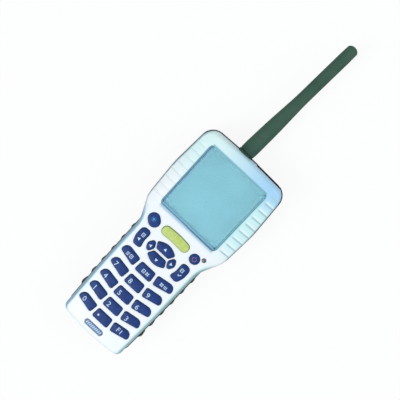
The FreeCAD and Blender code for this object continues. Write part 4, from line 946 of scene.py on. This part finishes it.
def ring_plate(radius, wide, start, end, steps=28):
    """A closed plate of ink in the shape of part of a ring."""
    work = bmesh.new()
    rows = []
    for step in range(steps + 1):
        turn = start + (end - start) * step / steps
        near, far = radius - wide / 2, radius + wide / 2
        corners = [(near, INK_LOW), (far, INK_LOW), (far, INK_HIGH), (near, INK_HIGH)]
        rows.append([work.verts.new((r * math.cos(turn), r * math.sin(turn), z)) for r, z in corners])
    bridge(work, rows)
    work.faces.new(rows[0])
    work.faces.new(rows[-1])
    return work


def triangle(size, turn):
    """A triangle that points to an angle, centred on its middle."""
    corners = [turn, turn + 2 * math.pi / 3, turn + 4 * math.pi / 3]
    return [(size * math.cos(corner), size * math.sin(corner)) for corner in corners]


ARROW = 1.35 * MM
for node, degrees in (("key_up", 90), ("key_left", 180), ("key_down", 270), ("key_right", 0)):
    sign = plates([triangle(ARROW, math.radians(degrees))])
    print_on(node, node.replace("key_", "arrow_"), sign, white_ink)

THIN = 0.42 * MM


def lines(x, y, upright=False):
    """Three thin bars, level or upright."""
    steps = (-0.95 * MM, 0.0, 0.95 * MM)
    if upright:
        return [bar(x + step, y, 2.3 * MM, THIN, math.pi / 2) for step in steps]
    return [bar(x, y + step, 2.3 * MM, THIN) for step in steps]


def page(x, y):
    """A hollow rectangle with a short bar in it."""
    sides = [bar(x, y + side * 1.15 * MM, 2.4 * MM, THIN) for side in (-1, 1)]
    sides += [bar(x + side * 0.99 * MM, y, THIN, 1.86 * MM) for side in (-1, 1)]
    return sides + [bar(x, y, 0.9 * MM, THIN)]


def squares(x, y):
    """Four small squares."""
    step, side = 0.66 * MM, 0.95 * MM
    return [bar(x + a * step, y + b * step, side, side) for a in (-1, 1) for b in (-1, 1)]


def shape(points, x, y):
    """An outline given in millimetres, moved to x and y."""
    return [(x + a * MM, y + b * MM) for a, b in points]


TICK = [(-1.3, 0.0), (-0.95, 0.4), (-0.35, -0.25), (1.0, 1.3), (1.4, 0.95), (-0.35, -1.0)]
BACK = [(0.9, 1.3), (-1.2, 0.0), (0.9, -1.3)]
leave = page(0.25 * MM, 2.2 * MM) + [shape(BACK, -0.5 * MM, -1.8 * MM)]
accept = page(-0.25 * MM, 2.4 * MM) + [shape(TICK, 0.4 * MM, -1.4 * MM)]
print_on("key_exit", "sign_exit", plates(leave), white_ink)
print_on("key_confirm", "sign_confirm", plates(accept), white_ink)
print("printed the pad's signs")

sun = [disc(0.75 * MM)]
for step in range(8):
    angle = math.pi / 4 * step
    reach = 1.45 * MM
    sun.append(bar(reach * math.cos(angle), reach * math.sin(angle), 0.7 * MM, 0.32 * MM, angle))
print_on("key_light", "sign_light", plates(sun), cyan_ink, -0.4 * MM, 0.5 * MM)

broken_ring = ring_plate(1.5 * MM, 0.4 * MM, math.radians(125), math.radians(415))
print_on("key_power", "sign_power", broken_ring, red_ink)
print_on("key_power", "sign_power_stroke", plates([bar(0, 1.4 * MM, 0.4 * MM, 1.3 * MM)]), red_ink)
print("printed the light's sign and the power key's")

# %% Function signs
FUNCTION_SIGNS = {
    "left": ("sign_list", lines(-1.6 * MM, 0) + page(1.7 * MM, 0)),
    "middle": ("sign_menu", page(-1.1 * MM, -0.2 * MM) + squares(2.2 * MM, -0.2 * MM)),
    "right": ("sign_pages", squares(-1.5 * MM, 0) + lines(1.8 * MM, 0, True)),
}
for side, (name, outlines) in FUNCTION_SIGNS.items():
    node = "key_function" if side == "middle" else f"key_function_{side}"
    print_on(node, name, plates(outlines), white_ink)
print("printed three function signs")

# %% [markdown]
# ## Antenna
# The antenna is a rubber sleeve: thick for its first quarter, then drawn in and slim to the
# tip, with a moulding line under its rounded cap. Its radii are read from the solid, softened
# so that no ring shows where the taper changes, and turned about the leaning axis of its joint.

# %% Antenna sleeve
SLEEVE_STEP = 1.0 * MM
SLEEVE_SIDES = 48
CAP_LINE = 7.0 * MM
CAP_LINE_DEEP = 0.18 * MM
LEAST_RADIUS = 3.6 * MM
SOFT_REACH = 5 * MM

antenna_joint = [joint for joint in frame["joints"] if joint["name"] == "antenna_turn"][0]
antenna_base = Vector(antenna_joint["pos_m"])
antenna_axis = Vector(antenna_joint["axis"]).normalized()


def measured_profile(node):
    """The outer profile of a turned solid: distance along the axis and greatest radius there."""
    profile = {}
    for vert in frame["nodes"][node].data.vertices:
        along = (vert.co - antenna_base).dot(antenna_axis)
        radius = (vert.co - antenna_base - antenna_axis * along).length
        level = round(along / MM, 1)
        profile[level] = max(profile.get(level, 0), radius)
    return sorted((level * MM, radius) for level, radius in profile.items())


def radius_at(profile, along):
    """The radius of a profile at a distance along the axis."""
    for (low, low_radius), (high, high_radius) in zip(profile, profile[1:]):
        if low <= along <= high:
            share = (along - low) / max(high - low, 1e-9)
            return low_radius + (high_radius - low_radius) * share
    return profile[-1][1]


profile = measured_profile("antenna_whip")
sleeve_low, sleeve_high = profile[0][0], profile[-1][0]
outer = [(along, radius) for along, radius in profile if radius > LEAST_RADIUS]


def soft_radius(along):
    """The radius averaged over a few millimetres to each side, with the line under the cap."""
    marks = [along + SOFT_REACH * (step / 4 - 1) for step in range(9)]
    marks = [min(max(mark, outer[0][0]), outer[-1][0]) for mark in marks]
    radius = sum(radius_at(outer, mark) for mark in marks) / len(marks)
    line = math.exp(-((along - (sleeve_high - CAP_LINE)) / (0.35 * MM)) ** 2)
    return radius - CAP_LINE_DEEP * line


def antenna_sleeve():
    """A closed turned sleeve with a rounded tip and a softened foot."""
    tip_round = soft_radius(sleeve_high - 6 * MM)
    cap_start = sleeve_high - tip_round * 0.75
    rings = [(sleeve_low, soft_radius(sleeve_low) - 0.5 * MM)]
    rings += [(sleeve_low + 0.25 * MM, soft_radius(sleeve_low) - 0.15 * MM)]
    count = int((cap_start - sleeve_low) / SLEEVE_STEP)
    for step in range(1, count + 1):
        along = sleeve_low + (cap_start - sleeve_low) * step / count
        rings.append((along, soft_radius(along)))
        if abs(along - (sleeve_high - CAP_LINE)) < 1.5 * MM:
            for part in (0.25, 0.5, 0.75):
                nearby = along + part * SLEEVE_STEP
                rings.append((nearby, soft_radius(nearby)))
    for step in range(1, 9):
        turn = math.pi / 2 * step / 9
        rings.append((cap_start + (sleeve_high - cap_start) * math.sin(turn), tip_round * math.cos(turn)))
    across = antenna_axis.cross(Vector((0, 0, 1))).normalized()
    third = antenna_axis.cross(across)
    work = bmesh.new()
    rows = []
    for along, radius in rings:
        centre = antenna_base + antenna_axis * along
        turns = [2 * math.pi * side / SLEEVE_SIDES for side in range(SLEEVE_SIDES)]
        around = [across * math.cos(turn) + third * math.sin(turn) for turn in turns]
        rows.append([work.verts.new(centre + direction * radius) for direction in around])
    bridge(work, rows)
    close_tip(work, rows[-1], work.verts.new(antenna_base + antenna_axis * sleeve_high))
    work.faces.new(list(reversed(rows[0])))
    return from_bmesh("antenna_sleeve", work, antenna_rubber, 50)


stand_for(antenna_sleeve(), "antenna_whip")
print("the antenna is", round((sleeve_high - sleeve_low) / MM), "mm long")

# %% [markdown]
# ## Grips
# A soft strip lies along each side of the handle, with six rounded ridges for the fingers. Its
# shape is a rule, so Geometry Nodes make it: a finely divided block, whose outer side is moved
# out wherever a point lies near the middle of a ridge. The count, the pitch and the height of
# the ridges are inputs of the tree.

# %% Tree helpers
TREE_SOCKETS = {"float": "NodeSocketFloat", "int": "NodeSocketInt", "object": "NodeSocketObject",
                "material": "NodeSocketMaterial", "mesh": "NodeSocketGeometry"}


def new_tree(name, inputs):
    """An empty geometry tree with named inputs, and one geometry output."""
    tree = bpy.data.node_groups.new(name, "GeometryNodeTree")
    tree.interface.new_socket("Geometry", in_out="OUTPUT", socket_type=TREE_SOCKETS["mesh"])
    for label, kind in inputs:
        tree.interface.new_socket(label, in_out="INPUT", socket_type=TREE_SOCKETS[kind])
    source = tree.nodes.new("NodeGroupInput")
    target = tree.nodes.new("NodeGroupOutput")
    return tree, source.outputs, target.inputs


def grown(name, tree, values, mesh=None):
    """Runs a tree on an object, with its inputs set by identifier, and keeps the plain mesh."""
    piece = bpy.data.objects.new(name, mesh or bpy.data.meshes.new(name))
    bpy.context.scene.collection.objects.link(piece)
    modifier = piece.modifiers.new(name, "NODES")
    modifier.node_group = tree
    for item in tree.interface.items_tree:
        if item.in_out == "INPUT" and item.name in values:
            modifier[item.identifier] = values[item.name]
    return settled(piece)


def dress(tree, last, given, result):
    """Ends a tree: makes its instances real, gives them their finish and links the output."""
    real = add(tree, "GeometryNodeRealizeInstances", [("Geometry", last.outputs[0])])
    dressed = add(tree, "GeometryNodeSetMaterial", [
        ("Geometry", real.outputs[0]), ("Material", given["Material"])])
    tree.links.new(dressed.outputs[0], result["Geometry"])


print("trees have", len(TREE_SOCKETS), "kinds of sockets")

# %% Grip tree
RIDGE_CURVE = 2.4
END_CURVE = 7.0
GRIP_POINTS = (3, 400, 22)


def grip_tree():
    """A block whose outer side rises in rounded ridges."""
    tree, given, result = new_tree("ridged_grip", [
        ("Thickness", "float"), ("Length", "float"), ("Height", "float"), ("Ridges", "int"),
        ("Pitch", "float"), ("Ridge Width", "float"), ("Ridge Rise", "float"), ("Side", "float"),
        ("Material", "material")])
    size = add(tree, "ShaderNodeCombineXYZ", [
        ("X", given["Thickness"]), ("Y", given["Length"]), ("Z", given["Height"])])
    counts = [(f"Vertices {axis}", count) for axis, count in zip("XYZ", GRIP_POINTS)]
    block = add(tree, "GeometryNodeMeshCube", [("Size", size.outputs[0]), *counts])
    place = add(tree, "GeometryNodeInputPosition").outputs[0]
    x, y, z = add(tree, "ShaderNodeSeparateXYZ", [("Vector", place)]).outputs
    cell = calculate(tree, "ADD", calculate(tree, "DIVIDE", y, given["Pitch"]),
                     calculate(tree, "DIVIDE", given["Ridges"], 2.0))
    local = calculate(tree, "SUBTRACT", calculate(tree, "FRACT", cell), 0.5)
    share = calculate(tree, "DIVIDE", times(tree, local, given["Pitch"]),
                      times(tree, given["Ridge Width"], 0.5))
    bulge = calculate(tree, "POWER", calculate(tree, "ABSOLUTE", share), RIDGE_CURVE)
    hump = calculate(tree, "MAXIMUM", calculate(tree, "SUBTRACT", 1.0, bulge), 0.0)
    started = calculate(tree, "GREATER_THAN", cell, 0.0)
    ended = calculate(tree, "LESS_THAN", cell, given["Ridges"])
    half_high = times(tree, given["Height"], 0.5)
    level = calculate(tree, "DIVIDE", calculate(tree, "ABSOLUTE", z), half_high)
    taper = calculate(tree, "SUBTRACT", 1.0, calculate(tree, "POWER", level, END_CURVE))
    rise = times(tree, times(tree, hump, taper), times(tree, started, ended))
    outer_side = calculate(tree, "GREATER_THAN", times(tree, x, given["Side"]), 0.0001 * MM)
    push = times(tree, given["Ridge Rise"], given["Side"])
    amount = times(tree, times(tree, rise, outer_side), push)
    offset = add(tree, "ShaderNodeCombineXYZ", [("X", amount)])
    moved = add(tree, "GeometryNodeSetPosition", [
        ("Geometry", block.outputs["Mesh"]), ("Offset", offset.outputs[0])])
    smooth = add(tree, "GeometryNodeSetShadeSmooth", [("Geometry", moved.outputs[0])])
    dress(tree, smooth, given, result)
    return tree


RIDGES = 6
RIDGE_PITCH = 11.3 * MM
RIDGE_WIDTH = 5.6 * MM
RIDGE_RISE = 1.6 * MM
print("a grip has", RIDGES, "ridges,", round(RIDGE_PITCH / MM, 1), "mm apart")

# %% Grips
ridged_grip = grip_tree()
for side, node in ((-1, "left_grip"), (1, "right_grip")):
    low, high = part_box(node)
    thick = high.x - low.x - RIDGE_RISE
    strip = grown(f"{node}_rubber", ridged_grip, {
        "Thickness": thick, "Length": high.y - low.y, "Height": high.z - low.z, "Ridges": RIDGES,
        "Pitch": RIDGE_PITCH, "Ridge Width": RIDGE_WIDTH, "Ridge Rise": RIDGE_RISE,
        "Side": float(side), "Material": grip_rubber})
    middle_x = low.x + thick / 2 if side == 1 else high.x - thick / 2
    middle = Vector((middle_x, (low.y + high.y) / 2, (low.z + high.z) / 2))
    strip.data.transform(Matrix.Translation(middle))
    strip.data.set_sharp_from_angle(angle=math.radians(60))
    stand_for(strip, node)
    print(node, "has", RIDGES, "ridges")

# %% [markdown]
# ## Screws
# Six screws hold the shells together from the back. One head is modelled, a low dome with a
# cross cut into it, and a tree puts a copy on each screw's place, each turned by its own
# random angle, because nobody lines the crosses up.


# %% Screw head
def turned(name, profile, sides, finish):
    """A solid turned about Z from (radius, height) points that start and end on the axis."""
    work = bmesh.new()
    rows = []
    for radius, height in profile:
        if radius == 0:
            rows.append([work.verts.new((0, 0, height))] * sides)
            continue
        turns = [2 * math.pi * side / sides for side in range(sides)]
        around = [(radius * math.cos(turn), radius * math.sin(turn), height) for turn in turns]
        rows.append([work.verts.new(place) for place in around])
    for low, high in zip(rows, rows[1:]):
        for side in range(sides):
            after = (side + 1) % sides
            corners = []
            for vert in (low[side], low[after], high[after], high[side]):
                if vert not in corners:
                    corners.append(vert)
            work.faces.new(corners)
    return from_bmesh(name, work, finish)


def carve(piece, tools):
    """Cuts closed tools out of a piece and removes them."""
    for tool in tools:
        cut = piece.modifiers.new("cut", "BOOLEAN")
        cut.operation, cut.solver, cut.object = "DIFFERENCE", "EXACT", tool
        settled(piece)
        bpy.data.objects.remove(tool)
    return piece


SCREW_LOW, SCREW_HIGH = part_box("case_screws")
HEAD_RADIUS = 2.6 * MM
HEAD_HIGH = 2.0 * MM
SHANK_RADIUS = 1.2 * MM
shank_long = SCREW_HIGH.z - SCREW_LOW.z
screw = turned("screw", [
    (0, 0), (HEAD_RADIUS * 0.62, 0.05 * MM), (HEAD_RADIUS * 0.9, 0.4 * MM), (HEAD_RADIUS, 0.9 * MM),
    (HEAD_RADIUS, HEAD_HIGH), (SHANK_RADIUS, HEAD_HIGH), (SHANK_RADIUS, shank_long - 0.8 * MM),
    (SHANK_RADIUS * 0.5, shank_long), (0, shank_long)], 24, screw_steel)
slots = []
for angle in (0, math.pi / 2):
    outline = bar(0, 0, HEAD_RADIUS * 1.15, 0.5 * MM, angle)
    tool = bmesh.new()
    low = [tool.verts.new((x, y, -0.5 * MM)) for x, y in outline]
    high = [tool.verts.new((x * 0.7, y * 0.7, 1.1 * MM)) for x, y in outline]
    tool.faces.new(low)
    tool.faces.new(high)
    bridge(tool, [low, high])
    slots.append(from_bmesh("slot", tool, screw_steel))
screw = carve(screw, slots)
print("a screw is", round(shank_long / MM, 1), "mm long")


# %% Screw tree
def islands(node):
    """The separate solids of a node, as lists of points, always in the same order."""
    work = merged(node)
    left, found = set(work.verts), []
    for start in work.verts:
        if start not in left:
            continue
        left.remove(start)
        reached, waiting = [], [start]
        while waiting:
            vert = waiting.pop()
            reached.append(vert.co.copy())
            for edge in vert.link_edges:
                other = edge.other_vert(vert)
                if other in left:
                    left.remove(other)
                    waiting.append(other)
        found.append(reached)
    work.free()
    return found


def centre_of(points):
    """The middle of the box round some points."""
    spans = [[point[axis] for point in points] for axis in range(3)]
    return Vector([(min(span) + max(span)) / 2 for span in spans])


def screw_tree():
    """A copy of the screw on each point, turned by a random angle."""
    tree, given, result = new_tree("set_screws", [
        ("Geometry", "mesh"), ("Screw", "object"), ("Seed", "int"), ("Material", "material")])
    model = add(tree, "GeometryNodeObjectInfo", [("Object", given["Screw"]), ("As Instance", True)])
    chance = add(tree, "FunctionNodeRandomValue", [("Seed", given["Seed"])], data_type="FLOAT")
    chance.inputs[3].default_value = 2 * math.pi
    spin = add(tree, "ShaderNodeCombineXYZ", [("Z", chance.outputs[1])])
    points = add(tree, "GeometryNodeMeshToPoints", [("Mesh", given["Geometry"])])
    set_down = add(tree, "GeometryNodeInstanceOnPoints", [
        ("Points", points.outputs[0]), ("Instance", model.outputs["Geometry"]),
        ("Rotation", spin.outputs[0])])
    dress(tree, set_down, given, result)
    return tree


spots = bpy.data.meshes.new("screw_spots")
centres = [centre_of(points) for points in islands("case_screws")]
spots.from_pydata([(centre.x, centre.y, SCREW_LOW.z) for centre in centres], [], [])
screw_values = {"Screw": screw, "Seed": 7, "Material": screw_steel}
screws = grown("housing_screws", screw_tree(), screw_values, spots)
bpy.data.objects.remove(screw)
stand_for(screws, "case_screws")
print("set", len(centres), "screws")

# %% [markdown]
# ## Pieces that keep their solid
# The window, the panel and what lies inside the housing have the right shape already, so they
# only get a finish.

# %% Finishes of the kept solids
KEPT = {
    "display_window": window_clear, "display_gasket": gasket_blue, "lcd_panel": panel_face,
    "seam_gasket": seal_rubber, "keypad_mat": mat_rubber, "main_board": board_lacquer,
    "board_screws": screw_steel, "buzzer": black_plastic, "scan_engine": black_plastic,
    "antenna_connector": connector_metal, "battery_pack": battery_wrap,
    "battery_contacts": contact_gold, "charge_contacts": contact_gold,
}
for node, finish in KEPT.items():
    solid = frame["nodes"][node]
    solid.data.materials.clear()
    solid.data.materials.append(finish)
print("gave", len(KEPT), "solids their finish")

# %% [markdown]
# ## Table and light
# The terminal lies on a white table in soft light. One wide lamp stands on the side where the
# photograph's light comes from, beyond the lower left of the terminal, and a cool, even sky
# fills the shade. The table hides nothing from below. For light that bounces off it, the table
# glows evenly, also in its own shadow under the terminal, so that the back gets about the light a
# bare white table would give and can be looked at too.

# %% Table
TABLE_HALF = 3.0
TABLE_GAP = 0.05 * MM
TABLE_GLOW = 0.9
TABLE_BOUNCE_GLOW = 0.8
table_mesh = bpy.data.meshes.new("table")
signs = ((-1, -1), (1, -1), (1, 1), (-1, 1))
corners = [(x * TABLE_HALF, y * TABLE_HALF, -TABLE_GAP) for x, y in signs]
table_mesh.from_pydata(corners, [], [(0, 1, 2, 3)])
white_table, tree, surface = new_finish("white_table", Base_Color=(0.93, 0.93, 0.93, 1), Roughness=0.9)
output = tree.nodes["Material Output"]
glow = add(tree, "ShaderNodeEmission", [("Color", (1, 1, 1, 1)), ("Strength", 1.0)])
# The table glows for bounced light, so it lights the terminal's back even in its own shadow.
bounce_glow = add(tree, "ShaderNodeEmission", [("Color", (1, 1, 1, 1)), ("Strength", TABLE_BOUNCE_GLOW)])
seen = add(tree, "ShaderNodeLightPath")
lit = add(tree, "ShaderNodeMixShader", [
    (0, spread(tree, seen.outputs["Is Camera Ray"], 0.0, TABLE_GLOW)), (1, surface.outputs[0]),
    (2, glow.outputs[0])])
lit = add(tree, "ShaderNodeMixShader", [
    (0, seen.outputs["Is Diffuse Ray"]), (1, lit.outputs[0]), (2, bounce_glow.outputs[0])])
clear = add(tree, "ShaderNodeBsdfTransparent")
under = add(tree, "ShaderNodeNewGeometry")
one_sided = add(tree, "ShaderNodeMixShader", [
    (0, under.outputs["Backfacing"]), (1, lit.outputs[0]), (2, clear.outputs[0])])
tree.links.new(one_sided.outputs[0], output.inputs["Surface"])
table = new_piece("table", table_mesh, white_table)
print("the table is", 2 * TABLE_HALF, "m wide")

# %% Light
SKY_COLOUR = (0.84, 0.94, 1.0)
SKY_STRENGTH = 0.52
LAMPS = {
    "lamp": (Vector((-350, -700, 1100)) * MM, 0.7, 0.36),
    "fill_lamp": (Vector((650, 850, 700)) * MM, 0.9, 0.17),
}

world = bpy.data.worlds.new("sky")
world.use_nodes = True
bpy.context.scene.world = world
tree = world.node_tree
sky = tree.nodes["Background"]
sky.inputs["Color"].default_value = (*SKY_COLOUR, 1)
sky.inputs["Strength"].default_value = SKY_STRENGTH
backdrop = add(tree, "ShaderNodeBackground", [("Color", (1, 1, 1, 1)), ("Strength", 1.0)])
ray = add(tree, "ShaderNodeLightPath")
direct = calculate(tree, "MAXIMUM", ray.outputs["Is Camera Ray"], ray.outputs["Is Glossy Ray"])
direct = calculate(tree, "MAXIMUM", direct, ray.outputs["Is Transmission Ray"])
mixed = add(tree, "ShaderNodeMixShader", [(0, direct), (1, sky.outputs[0]), (2, backdrop.outputs[0])])
tree.links.new(mixed.outputs[0], tree.nodes["World Output"].inputs["Surface"])

for name, (place, size, share) in LAMPS.items():
    data = bpy.data.lights.new(name, "AREA")
    data.shape = "DISK"
    data.size = size
    data.energy = share * math.pi ** 2 * place.length ** 3 / place.z
    lamp = bpy.data.objects.new(name, data)
    bpy.context.scene.collection.objects.link(lamp)
    lamp.location = place
    lamp.rotation_euler = (-place).to_track_quat("-Z", "Y").to_euler()
    print(name, "gives", round(data.energy, 1), "W from", round(place.length, 2), "m")
